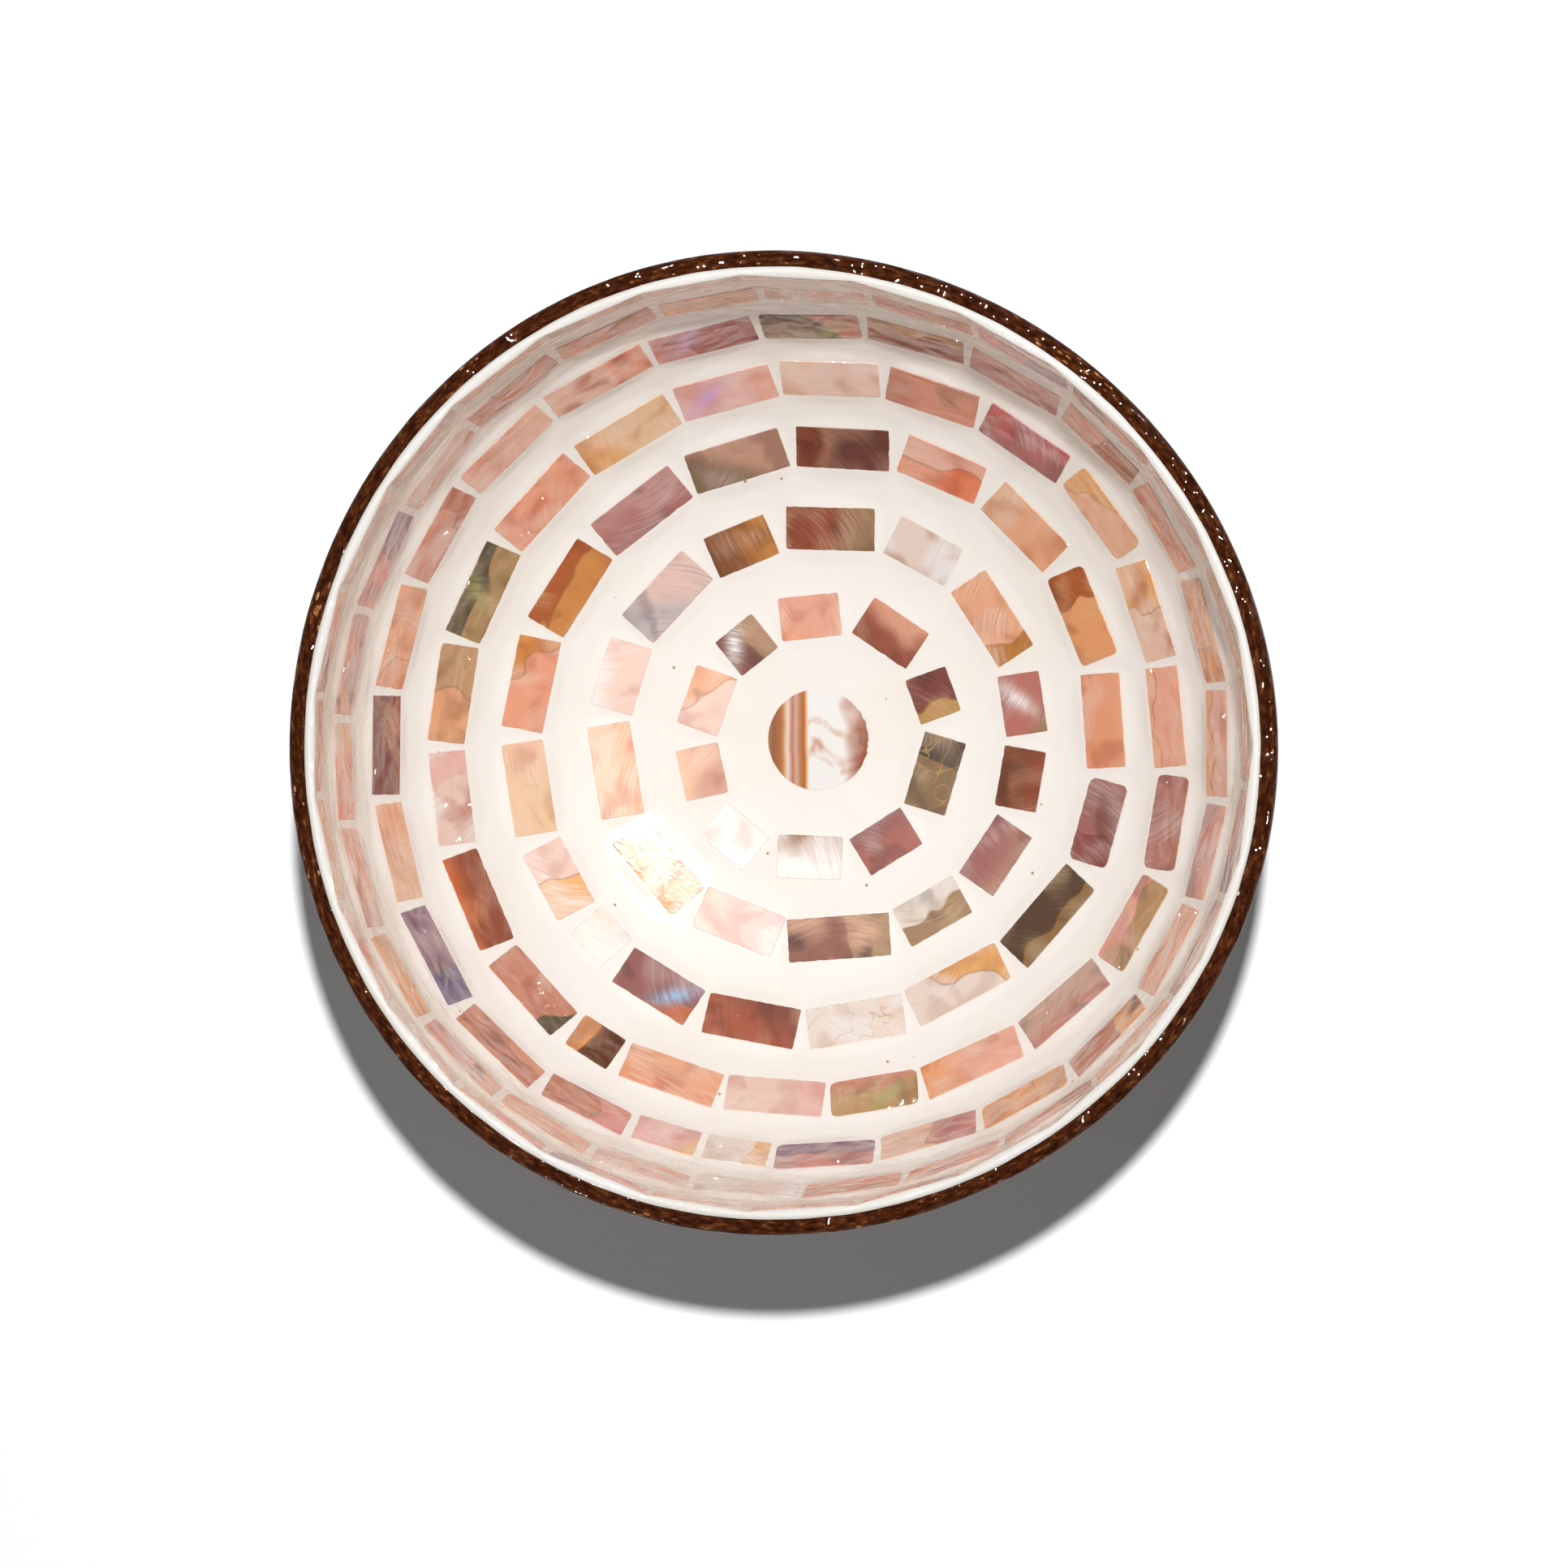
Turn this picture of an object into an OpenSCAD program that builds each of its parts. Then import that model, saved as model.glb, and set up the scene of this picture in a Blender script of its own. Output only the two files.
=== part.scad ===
// Bowl made from half a coconut shell, lined with ivory filler and a ring mosaic of
// mother-of-pearl tiles. Millimetres, +Z up, origin at the middle of the flat foot.

/* [Coconut shell] */
// Mean width of the shell across the rim
shell_w = 135; // [120:1:150]
// Height from the flat foot to the rim
bowl_h = 55; // [48:0.5:62]
// Thickness of the shell at the rim
wall_t = 2.4; // [2:0.1:3.4]
// Thickness of the shell over the foot, after sanding
foot_t = 3.8; // [3:0.1:5]
// Depth sanded off the pole to make the flat foot
foot_sanding = 1.2; // [0.6:0.1:2]
// Radius of the sanded outer edge of the rim
rim_round = 0.8; // [0.4:0.1:1.2]
// Fullness of the outside: 2 is an ellipse, more is squarer in section
outer_fullness = 2.6; // [2.3:0.05:2.8]
// How far the nut stands out along its long way, beyond the mean circle
oval_rise = 0.4; // [0:0.1:1]
// Direction of the long way, in degrees
oval_turn = 2; // [0:1:90]
// How far the nut stands out along its three faint ridges
ridge_rise = 0.4; // [0:0.1:0.8]
// Direction of the first ridge, in degrees
ridge_turn = -10; // [-60:1:60]

/* [Lining] */
// Thickness of the filler at the rim
lining_rim_t = 1; // [1:0.1:1.6]
// Thickness of the filler under the middle of the floor
lining_floor_t = 2.2; // [1.6:0.1:3]
// Fullness of the inside: 2 is an ellipse, more is squarer in section
inner_fullness = 2.8; // [2.5:0.05:3]

/* [Mosaic] */
// Diameter of the disc in the middle
disc_d = 15.1; // [12:0.1:17]
// Filler between the disc and the first row
disc_gap = 7.3; // [6:0.1:9]
// Width of a tile, up the wall
tile_w = 6.5; // [5.5:0.1:7]
// Thickness of a tile
tile_t = 0.7; // [0.5:0.05:0.8]
// Width of the trimmed tiles under the rim
top_tile_w = 4.4; // [3:0.1:5]
// Filler between the trimmed tiles and the rim
top_margin = 0.5; // [0.4:0.1:1.5]
// Least filler between the ends of two tiles, at their middle
end_gap = 1.1; // [0.8:0.1:1.6]
// Least filler between the near corners of two tiles
corner_gap = 0.45; // [0.4:0.05:0.8]
// How far a tile's corners stand above the filler
tile_proud = 0.12; // [0.05:0.01:0.2]
// Glue line round a tile in its pocket
glue_line = 0.05; // [0.02:0.01:0.1]

/* [Hidden] */
// The meridians: outside of the nut, joint between shell and lining, inside of the lining
outer_r = shell_w / 2;
outer_d = bowl_h + foot_sanding;
joint_r = outer_r - wall_t;
joint_d = bowl_h - foot_t;
inner_r = joint_r - lining_rim_t;
inner_d = joint_d - lining_floor_t;

// Steps of the modelled surfaces: round the bowl, from pole to rim, and in the rounded edge
around = 60;
rings = 16;
edge_steps = 3;
wall_steps = 180;
// Angles in degrees, and the degrees in a radian
turn = 360;
quarter = 90;
radian = turn / 2 / PI;
// How far a cut runs past what it cuts
cut = 1;

// Rows of the mosaic, as tiles in anticlockwise order seen from above. Each tile has its kind of
// shell, its length as a share of a full strip, and how far it lies up the wall from the
// row's middle, as a share of the tile's width.
row_1_shares = [
    ["brown", 0.5, 0], ["brown", 0.7, 0.15], ["salmon", 0.65, 0], ["brown", 0.5, -0.1],
    ["pink", 0.65, -0.1], ["salmon", 0.55, -0.05], ["pearl", 0.6, 0.1], ["pearl", 0.7, -0.1],
    ["mauve", 0.65, 0], ["green", 0.8, -0.05]];
row_2_shares = [
    ["mauve", 0.65, 0], ["salmon", 0.95, 0.15], ["pearl", 0.75, 0.25], ["brown", 0.95, 0.1],
    ["brown", 0.7, 0], ["mauve", 0.95, 0], ["pink", 0.75, 0], ["salmon", 1, -0.05],
    ["salmon", 1, -0.1], ["pink", 0.9, -0.2], ["brown", 1.1, -0.15], ["green", 0.75, 0],
    ["mauve", 0.75, 0.1], ["brown", 0.65, -0.05]];
row_3_shares = [
    ["salmon", 1, -0.05], ["amber", 1, 0.15], ["salmon", 0.95, 0.3], ["salmon", 0.9, 0.3],
    ["brown", 1, 0.1], ["mauve", 1.05, 0], ["mauve", 1.05, -0.05], ["amber", 1, 0],
    ["salmon", 1, 0.05], ["salmon", 1, 0.05], ["pearl", 0.8, 0.05], ["pearl", 0.5, 0],
    ["mauve", 0.9, 0.05], ["brown", 1, 0], ["pearl", 1.05, -0.05], ["pearl", 1.1, -0.1],
    ["green", 1.1, 0.05], ["mauve", 0.9, 0.1]];
row_4_shares = [
    ["salmon", 1, -0.25], ["salmon", 1, -0.1], ["amber", 0.95, 0.25], ["mauve", 0.95, 0.2],
    ["brown", 0.95, 0.1], ["pink", 1, 0], ["pink", 1, -0.15], ["salmon", 1.05, -0.2],
    ["salmon", 1.05, -0.1], ["green", 1, -0.05], ["brown", 1, 0], ["pink", 0.95, 0.05],
    ["brown", 1, 0.15], ["salmon", 0.95, 0.25], ["brown", 0.5, 0.15], ["salmon", 1, 0],
    ["pink", 1, -0.1], ["green", 0.9, -0.05], ["salmon", 1.05, 0], ["brown", 1, 0.1],
    ["green", 0.95, 0.2], ["mauve", 0.95, 0]];
row_5_shares = [
    ["salmon", 1.05, -0.35], ["amber", 1.05, -0.2], ["salmon", 0.95, 0.1], ["brown", 0.95, 0.25],
    ["mauve", 1, 0.1], ["brown", 1, 0], ["green", 1, -0.15], ["mauve", 1.05, -0.25],
    ["salmon", 1.1, -0.2], ["pink", 1.05, -0.1], ["pink", 1, 0], ["salmon", 1.05, -0.05],
    ["brown", 1, 0], ["salmon", 1, 0.05], ["mauve", 1.05, 0.2], ["brown", 1, 0.35],
    ["brown", 0.9, 0.1], ["pink", 0.65, -0.1], ["pearl", 0.65, -0.15], ["mauve", 1, -0.1],
    ["mauve", 1, -0.1], ["amber", 0.95, 0.1], ["brown", 0.95, 0.25], ["salmon", 0.95, 0],
    ["mauve", 0.95, -0.2]];
row_6_shares = [
    ["salmon", 1, -0.3], ["salmon", 1, -0.2], ["pink", 1, 0], ["brown", 1, 0.1],
    ["mauve", 1, 0], ["brown", 1, -0.15], ["pink", 1, -0.3], ["salmon", 0.95, -0.3],
    ["brown", 1, -0.2], ["brown", 1, -0.15], ["pink", 0.95, -0.2], ["mauve", 1, -0.15],
    ["mauve", 1, -0.05], ["salmon", 0.95, 0], ["pink", 1, 0.1], ["amber", 0.9, 0.25],
    ["mauve", 0.95, 0.2], ["salmon", 0.95, 0.1], ["pink", 0.95, 0], ["pearl", 1, -0.15],
    ["brown", 0.95, -0.15], ["salmon", 0.95, 0], ["brown", 1, 0.1], ["salmon", 1, 0.05],
    ["mauve", 1, -0.1], ["mauve", 1, -0.25]];
row_7_shares = [
    ["pink", 1, 0], ["salmon", 1, 0], ["brown", 0.9, 0], ["pink", 1, 0], ["mauve", 0.95, 0],
    ["salmon", 1, 0], ["pearl", 1, 0], ["pink", 0.9, 0], ["brown", 1, 0], ["salmon", 1, 0],
    ["mauve", 0.95, 0], ["pink", 1, 0], ["brown", 1, 0], ["brown", 0.9, 0], ["salmon", 1, 0],
    ["pink", 1, 0], ["pearl", 0.95, 0], ["salmon", 1, 0], ["mauve", 1, 0], ["pink", 0.9, 0],
    ["salmon", 1, 0], ["brown", 1, 0], ["pearl", 0.95, 0], ["mauve", 1, 0], ["salmon", 1, 0],
    ["pink", 0.9, 0], ["mauve", 1, 0]];
rows_shares = [
    row_1_shares, row_2_shares, row_3_shares, row_4_shares, row_5_shares, row_6_shares,
    row_7_shares];

// Direction of the middle of each row's first tile, in degrees from +X
row_turns = [21, 10, 4, 4, 0, 2, 7];

// Kinds of shell and how each looks
kinds = ["pearl", "pink", "salmon", "amber", "brown", "mauve", "green"];
kind_colours = ["#F1E6DA", "#EFC3B4", "#E89F77", "#C98345", "#84503C", "#9D7078", "#75714A"];
shell_colour = "#46291A";
filler_colour = "#F9EFE2";
disc_colour = "#EAD3BD";

// How wide the nut is in a direction, against the mean circle
function lobe(a) =
    1 + oval_rise / outer_r * cos(2 * (a - oval_turn)) + ridge_rise / outer_r * cos(3 * (a - ridge_turn));

// Radius and height of a meridian at a share of a quarter turn, from 0 at the pole to 90 at the rim
function meridian_r(r, full, t) = r * pow(sin(t), 2 / full);
function meridian_z(d, full, t) = bowl_h - d * pow(cos(t), 2 / full);

// One ring of points of a radius and a height. Each ring is turned by half a step against the one
// before it, so that the facets form one even net with a crease at every edge.
function ring(level, j) =
    [for (i = [0:around - 1]) let (a = turn * (i + j / 2) / around, r = level[0] * lobe(a))
        [r * cos(a), r * sin(a), level[1]]];

// Radius and height of the rings of a meridian, from the first one off the pole up to the rim
function bowl_levels(r, d, full) =
    [for (k = [1:rings]) let (t = quarter * k / rings) [meridian_r(r, full, t), meridian_z(d, full, t)]];

// The rounded outer edge of the rim, from the side to the top. An odd number of steps lets the net of
// the shell's inside match that of the lining.
function edge_levels() =
    [for (k = [0:edge_steps]) let (t = quarter * k / edge_steps)
        [outer_r - rim_round * (1 - cos(t)), bowl_h - rim_round * (1 - sin(t))]];

function reversed(v) = [for (i = [len(v) - 1:-1:0]) v[i]];
function without_last(v) = [for (i = [0:len(v) - 2]) v[i]];

// A closed bowl: up the outer rings, across the rim and down the inner rings, with a point at each pole
module bowl_solid(outer_levels, outer_pole, inner_levels, inner_pole) {
    levels = concat(outer_levels, reversed(inner_levels));
    count = len(levels);
    points = concat([outer_pole], [for (j = [0:count - 1]) each ring(levels[j], j)], [inner_pole]);
    last = len(points) - 1;
    outer_cap = [for (i = [0:around - 1]) [0, 1 + i, 1 + (i + 1) % around]];
    inner_cap = [for (i = [0:around - 1]) [last, last - around + (i + 1) % around, last - around + i]];
    sides = [for (k = [0:count - 2]) for (i = [0:around - 1])
        let (a = 1 + k * around + i, b = 1 + k * around + (i + 1) % around) each [
            [a, a + around, b],
            [b, a + around, b + around]]];
    polyhedron(points = points, faces = concat(outer_cap, sides, inner_cap), convexity = 4);
}

// The inside of the lining as a road up the wall: distance from the pole against radius and height
road_points = [for (k = [0:wall_steps]) let (t = quarter * k / wall_steps)
    [meridian_r(inner_r, inner_fullness, t), meridian_z(inner_d, inner_fullness, t)]];
road_lengths = [for (k = 0, s = 0; k <= wall_steps;
    s = s + (k < wall_steps ? norm(road_points[k + 1] - road_points[k]) : 0), k = k + 1) s];
road_r = [for (k = [0:wall_steps]) [road_lengths[k], road_points[k][0]]];
road_z = [for (k = [0:wall_steps]) [road_lengths[k], road_points[k][1]]];
road_end = road_lengths[wall_steps];

// A point on the lining at a distance up the wall and in a direction
function on_wall(s, a) =
    let (r = lookup(s, road_r) * lobe(a)) [r * cos(a), r * sin(a), lookup(s, road_z)];

// Where the rows lie: full rows with equal bands of filler between them, then the trimmed row
row_count = len(rows_shares);
first_row_s = disc_d / 2 + disc_gap;
band = (road_end - top_margin - top_tile_w - first_row_s - (row_count - 1) * tile_w) / (row_count - 1);
function row_w(row) = row < row_count ? tile_w : top_tile_w;
function row_s(row) = first_row_s + (row - 1) * (tile_w + band) + row_w(row) / 2;
function row_r(row) = lookup(row_s(row), road_r);

// Slope of the wall at a row, from the level floor at 0 to the upright at 90
function row_slope(row) =
    let (s = row_s(row), w = row_w(row) / 2)
    atan2(lookup(s + w, road_z) - lookup(s - w, road_z), lookup(s + w, road_r) - lookup(s - w, road_r));

// Filler between the ends of a row's tiles: at least the end gap, and wide enough for the corners
function row_gap(row) =
    max(end_gap, corner_gap + row_w(row) * tan(turn / 2 / len(rows_shares[row - 1])) * cos(row_slope(row)));

// Length of a full strip in a row, so that the tiles and gaps close the ring
function strip_len(row) =
    let (tiles = rows_shares[row - 1])
    (2 * PI * row_r(row) - len(tiles) * row_gap(row)) / sum_to(tiles, len(tiles));
function sum_to(tiles, n) = n == 0 ? 0 : tiles[n - 1][1] + sum_to(tiles, n - 1);

// One tile's length, its direction, its place up the wall and its lean in the row
function tile_len(row, i) = strip_len(row) * rows_shares[row - 1][i][1];
function tile_turn(row, i) =
    let (tiles = rows_shares[row - 1], passed = sum_to(tiles, i) + (tiles[i][1] - tiles[0][1]) / 2,
        lead = passed * strip_len(row))
    row_turns[row - 1] + (lead + i * row_gap(row)) / row_r(row) * radian;
function tile_drift(row, i) = rows_shares[row - 1][i][2] * row_w(row);
function tile_lean(row, i) =
    let (n = len(rows_shares[row - 1]),
        rise = tile_drift(row, (i + 1) % n) - tile_drift(row, (i + n - 1) % n))
    atan2(rise, 2 * (strip_len(row) + row_gap(row)));

function unit(v) = v / norm(v);

// Places its children on the wall with X along the row, Y up the wall and Z out of the lining. The
// seat is raised until the corners of a piece of that size clear the curved filler.
module on_seat(s, a, l, w, lean) {
    spread = l / 2 / lookup(s, road_r) * radian;
    here = on_wall(s, a);
    along = unit(on_wall(s, a + spread) - on_wall(s, a - spread));
    up_wall = on_wall(s + w / 2, a) - on_wall(s - w / 2, a);
    out = unit(cross(up_wall, along));
    up = cross(along, out);
    lifts = [for (i = [-1, 1]) for (j = [-1, 1]) (on_wall(s + i * w / 2, a + j * spread) - here) * out];
    seat = here + (max(lifts) + tile_proud) * out;
    multmatrix([
        [along[0], up[0], out[0], seat[0]],
        [along[1], up[1], out[1], seat[1]],
        [along[2], up[2], out[2], seat[2]],
        [0, 0, 0, 1]])
        rotate(lean)
            children();
}

module on_tile_seat(row, i) {
    s = row_s(row) + tile_drift(row, i);
    on_seat(s, tile_turn(row, i), tile_len(row, i), row_w(row), tile_lean(row, i))
        children();
}

// A flat tile, with its top face on the seat
module tile(row, i) {
    translate([-tile_len(row, i) / 2, -row_w(row) / 2, -tile_t])
        cube([tile_len(row, i), row_w(row), tile_t]);
}

// The pocket of a tile: the tile and its glue line, open upwards with a slightly wider mouth
module pocket(row, i) {
    l = tile_len(row, i) + 2 * glue_line;
    w = row_w(row) + 2 * glue_line;
    hull() {
        translate([-l / 2, -w / 2, -tile_t])
            cube([l, w, tile_t / 2]);
        translate([-l / 2 - glue_line, -w / 2 - glue_line, cut / 2])
            cube([l + 2 * glue_line, w + 2 * glue_line, cut / 2]);
    }
}

module coconut_shell() {
    color(shell_colour)
        difference() {
            bowl_solid(
                concat(without_last(bowl_levels(outer_r, outer_d, outer_fullness)), edge_levels()),
                [0, 0, bowl_h - outer_d],
                bowl_levels(joint_r, joint_d, inner_fullness),
                [0, 0, bowl_h - joint_d]);
            // The pole is sanded off flat
            translate([-outer_r, -outer_r, -foot_sanding - cut])
                cube([shell_w, shell_w, foot_sanding + cut]);
        }
}

module grout_lining() {
    color(filler_colour)
        difference() {
            bowl_solid(
                bowl_levels(joint_r, joint_d, inner_fullness),
                [0, 0, bowl_h - joint_d],
                bowl_levels(inner_r, inner_d, inner_fullness),
                [0, 0, bowl_h - inner_d]);
            for (row = [1:row_count])
                for (i = [0:len(rows_shares[row - 1]) - 1])
                    on_tile_seat(row, i)
                        pocket(row, i);
            translate([0, 0, bowl_h - inner_d + tile_proud - tile_t])
                cylinder(h = tile_t + cut, r = disc_d / 2 + glue_line, $fn = around);
        }
}

module centre_disc() {
    color(disc_colour)
        translate([0, 0, bowl_h - inner_d + tile_proud - tile_t])
            cylinder(h = tile_t, r = disc_d / 2, $fn = around);
}

// The tiles of one row that are cut from one kind of shell
module row_tiles(row, kind) {
    color(kind_colours[search([kind], kinds)[0]])
        for (i = [0:len(rows_shares[row - 1]) - 1])
            if (rows_shares[row - 1][i][0] == kind)
                on_tile_seat(row, i)
                    tile(row, i);
}

// The kinds of shell that a row holds, and the name of the part they make there
function row_kinds(row) =
    [for (kind = kinds) if (len([for (tile = rows_shares[row - 1]) if (tile[0] == kind) tile]) > 0) kind];
function row_node(row, kind) = str("row_", row, "_", kind, "_tiles");

coconut_shell();
grout_lining();
centre_disc();
for (row = [1:row_count])
    for (kind = row_kinds(row))
        row_tiles(row, kind);
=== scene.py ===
# Coconut shell bowl lined with ivory filler and a ring mosaic of mother-of-pearl tiles.
# Metres, +Z up, origin at the middle of the flat foot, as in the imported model.
import math
import random

import bpy
import numpy as np
from mathutils import Matrix, Vector


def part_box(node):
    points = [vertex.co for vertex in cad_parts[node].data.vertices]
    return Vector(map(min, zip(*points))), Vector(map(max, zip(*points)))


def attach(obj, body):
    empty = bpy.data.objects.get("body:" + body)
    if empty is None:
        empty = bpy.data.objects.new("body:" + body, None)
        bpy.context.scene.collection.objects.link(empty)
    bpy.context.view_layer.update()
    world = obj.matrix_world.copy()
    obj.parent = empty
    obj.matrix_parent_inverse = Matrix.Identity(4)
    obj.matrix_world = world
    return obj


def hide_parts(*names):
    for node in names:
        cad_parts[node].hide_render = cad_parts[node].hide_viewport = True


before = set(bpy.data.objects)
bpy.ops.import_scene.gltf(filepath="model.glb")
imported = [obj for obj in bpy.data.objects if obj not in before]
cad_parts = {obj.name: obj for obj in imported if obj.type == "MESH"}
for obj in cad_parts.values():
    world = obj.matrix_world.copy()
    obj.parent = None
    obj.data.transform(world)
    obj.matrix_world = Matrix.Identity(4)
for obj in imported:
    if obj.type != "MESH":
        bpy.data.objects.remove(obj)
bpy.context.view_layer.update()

# COCONUT HALF-SHELL
# Half of a ripe coconut, cut across: 2 to 4 mm of hard dark nut shell. The husk is scraped off,
# the outside is sanded and oiled, the cut edge is sanded flat under lacquer, and the pole is
# ground off flat, so that the bowl stands.
MM = 0.001
BOWL_HIGH = 55 * MM
SHELL_RADIUS = 67.4 * MM
SHELL_DEEP = 56.2 * MM
SHELL_FULLNESS = 2.6
JOINT_RADIUS = 65.1 * MM
JOINT_DEEP = 51.2 * MM
LINING_FULLNESS = 2.8
EDGE_ROUNDING = 0.8 * MM
AROUND = 720
UNEVEN = 0.4 / 67.5
OVAL_TURN = math.radians(2)
RIDGE_TURN = math.radians(-10)
LACQUER_FROM = 0.9
ON_CUT_EDGE = 0.3


def nut_width(angle):
    """How wide the nut is in a direction, against a true circle: slightly oval, with three ridges."""
    oval = UNEVEN * np.cos(2 * (angle - OVAL_TURN))
    ridges = UNEVEN * np.cos(3 * (angle - RIDGE_TURN))
    return 1 + oval + ridges


def meridian(radius, depth, fullness, t):
    """Radius and height of a bowl's section, from the pole at 0 to the rim at a quarter turn."""
    r = radius * np.sin(t) ** (2 / fullness)
    z = BOWL_HIGH - depth * np.cos(t) ** (2 / fullness)
    return r, z


def wear(angle, seed, waves, size):
    """A slow hand-made unevenness round the bowl, never more than size."""
    pick = random.Random(seed)
    total = sum(np.cos(n * angle + pick.uniform(0, 6.28)) * pick.uniform(0.4, 1) for n in waves)
    return size * total / len(waves)


def ring_skin(name, rings, first_point, last_point):
    """A smooth closed skin through rings of points, with a single point at each end."""
    count = len(rings)
    around = len(rings[0])
    points = np.vstack([[first_point], np.concatenate(rings), [last_point]])
    last = len(points) - 1
    step = np.arange(around)
    after = (step + 1) % around
    quads = []
    for k in range(count - 1):
        a = 1 + k * around
        quads.append(np.stack([a + step, a + around + step, a + around + after, a + after], axis=1))
    faces = [(0, 1 + i, 1 + (i + 1) % around) for i in range(around)]
    faces += [tuple(q) for q in np.concatenate(quads).tolist()]
    end = last - around
    faces += [(last, end + (i + 1) % around, end + i) for i in range(around)]
    mesh = bpy.data.meshes.new(name)
    mesh.from_pydata(points.tolist(), [], faces)
    mesh.polygons.foreach_set("use_smooth", np.ones(len(faces), dtype=bool))
    mesh.update()
    piece = bpy.data.objects.new(name, mesh)
    bpy.context.scene.collection.objects.link(piece)
    return piece


def store(mesh, name, kind, values):
    """Keeps a value for each point of a mesh, for the materials to read."""
    layer = mesh.attributes.new(name, kind, "POINT")
    key = {"FLOAT": "value", "FLOAT_VECTOR": "vector", "FLOAT_COLOR": "color"}[kind]
    layer.data.foreach_set(key, np.asarray(values, dtype=np.float32).ravel())


angles = np.linspace(0, 2 * math.pi, AROUND, endpoint=False)
lobes = nut_width(angles)


def level_ring(r, z):
    """Points round the bowl at a radius and a height, which may change with the direction."""
    r = np.broadcast_to(r, angles.shape) * lobes
    return np.stack([r * np.cos(angles), r * np.sin(angles), np.broadcast_to(z, angles.shape)], axis=1)


joint_wear = wear(angles, 5, (9, 17, 26, 41, 58, 83), 0.1 * MM)
edge_wear = wear(angles, 6, (5, 12, 23, 37), 0.05 * MM)
foot_start = math.acos((BOWL_HIGH / SHELL_DEEP) ** (SHELL_FULLNESS / 2))
foot_r = meridian(SHELL_RADIUS, SHELL_DEEP, SHELL_FULLNESS, foot_start)[0]

# Rings of the skin from the middle of the foot up the outside, over the cut edge and down the inside,
# each with its share of the cut edge's finish
shell_rings = []
shell_part = []
for share in (0.25, 0.5, 0.75, 0.94):
    shell_rings.append(level_ring(foot_r * share, 0))
    shell_part.append(0)
for t in np.linspace(foot_start, math.pi / 2, 130)[1:-1]:
    r, z = meridian(SHELL_RADIUS, SHELL_DEEP, SHELL_FULLNESS, t)
    if z < BOWL_HIGH - 1.2 * EDGE_ROUNDING:
        shell_rings.append(level_ring(r, z))
        shell_part.append(0)
for turn in np.linspace(0, math.pi / 2, 8):
    r = SHELL_RADIUS - EDGE_ROUNDING * (1 - math.cos(turn))
    z = BOWL_HIGH - EDGE_ROUNDING * (1 - math.sin(turn))
    shell_rings.append(level_ring(r - edge_wear.clip(0), z))
    shell_part.append(min(1, turn / LACQUER_FROM))
for share in (0.3, 0.6, 0.9, 1):
    r = (SHELL_RADIUS - EDGE_ROUNDING) * (1 - share) + (JOINT_RADIUS + joint_wear) * share
    shell_rings.append(level_ring(r, BOWL_HIGH - 0.05 * MM * share ** 4))
    shell_part.append(1)
for t in np.linspace(math.pi / 2, 0, 40)[1:-1]:
    r, z = meridian(JOINT_RADIUS, JOINT_DEEP, LINING_FULLNESS, t)
    shell_rings.append(level_ring(r, z))
    shell_part.append(0)

shell = ring_skin("polished_half_shell", shell_rings, (0, 0, 0), (0, 0, BOWL_HIGH - JOINT_DEEP))
store(shell.data, "edge", "FLOAT", [0] + [p for p in shell_part for _ in range(AROUND)] + [0])


def sheet_colour(code):
    """An sRGB hex colour as linear values with alpha."""
    channels = [int(code[i:i + 2], 16) / 255 for i in (1, 3, 5)]
    return [c / 12.92 if c <= 0.04045 else ((c + 0.055) / 1.055) ** 2.4 for c in channels] + [1.0]


def finish_of(name, feel):
    """A material with the values that are the same all over its surface, its nodes and its shader."""
    material = bpy.data.materials.new(name)
    material.use_nodes = True
    shader = material.node_tree.nodes["Principled BSDF"]
    for key, value in feel.items():
        shader.inputs[key].default_value = value
    return material, material.node_tree, shader


def add(tree, kind, settings=(), links=()):
    """One shader node: settings go on the node, on its input of that name or number, where a hex colour
    is turned linear, or are the stops of its colour ramp. Links come in, from a socket or from the first
    output of a node."""
    node = tree.nodes.new("ShaderNode" + kind)
    for key, value in dict(settings).items():
        if key == "stops":
            while len(node.color_ramp.elements) < len(value):
                node.color_ramp.elements.new(0.5)
            for element, (place, code) in zip(node.color_ramp.elements, value):
                element.position = place
                element.color = sheet_colour(code)
        elif isinstance(key, str) and hasattr(node, key):
            setattr(node, key, value)
        else:
            node.inputs[key].default_value = sheet_colour(value) if isinstance(value, str) else value
    for key, source in dict(links).items():
        tree.links.new(source.outputs[0] if hasattr(source, "outputs") else source, node.inputs[key])
    return node


# Coconut shell, scraped, sanded to 400 grit and oiled: deep brown with paler fibres that run from
# pole to rim, a soft satin shine and faint scraping marks.
polished, tree, shader = finish_of("oiled_coconut_shell", {
    "Roughness": 0.42, "Coat Weight": 0.35, "Coat Roughness": 0.22})
place = add(tree, "TexCoord").outputs["Object"]
fibre = add(tree, "Attribute", {"attribute_name": "fibre"}).outputs["Vector"]
grain = add(tree, "TexNoise", {"Scale": 1.0, "Detail": 4.0, "Roughness": 0.6}, {"Vector": fibre})
blotch = add(tree, "TexNoise", {"Scale": 90.0, "Detail": 3.0}, {"Vector": place})
grain_colour = add(tree, "ValToRGB", {"stops": [(0.3, "#22110A"), (0.46, "#3A2115"), (0.58, "#54331F"),
                                                (0.72, "#8A6443")]}, {0: grain})
blotch_colour = add(tree, "ValToRGB", {"stops": [(0.35, "#2A160D"), (0.65, "#5B3A26")]}, {0: blotch})
shell_mix = add(tree, "Mix", {"data_type": "RGBA", 0: 0.4}, {6: grain_colour, 7: blotch_colour})
tree.links.new(shell_mix.outputs[2], shader.inputs["Base Color"])
dent = add(tree, "Bump", {"Strength": 0.35, "Distance": 0.0002}, {"Height": grain})
tree.links.new(dent.outputs[0], shader.inputs["Normal"])
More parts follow.
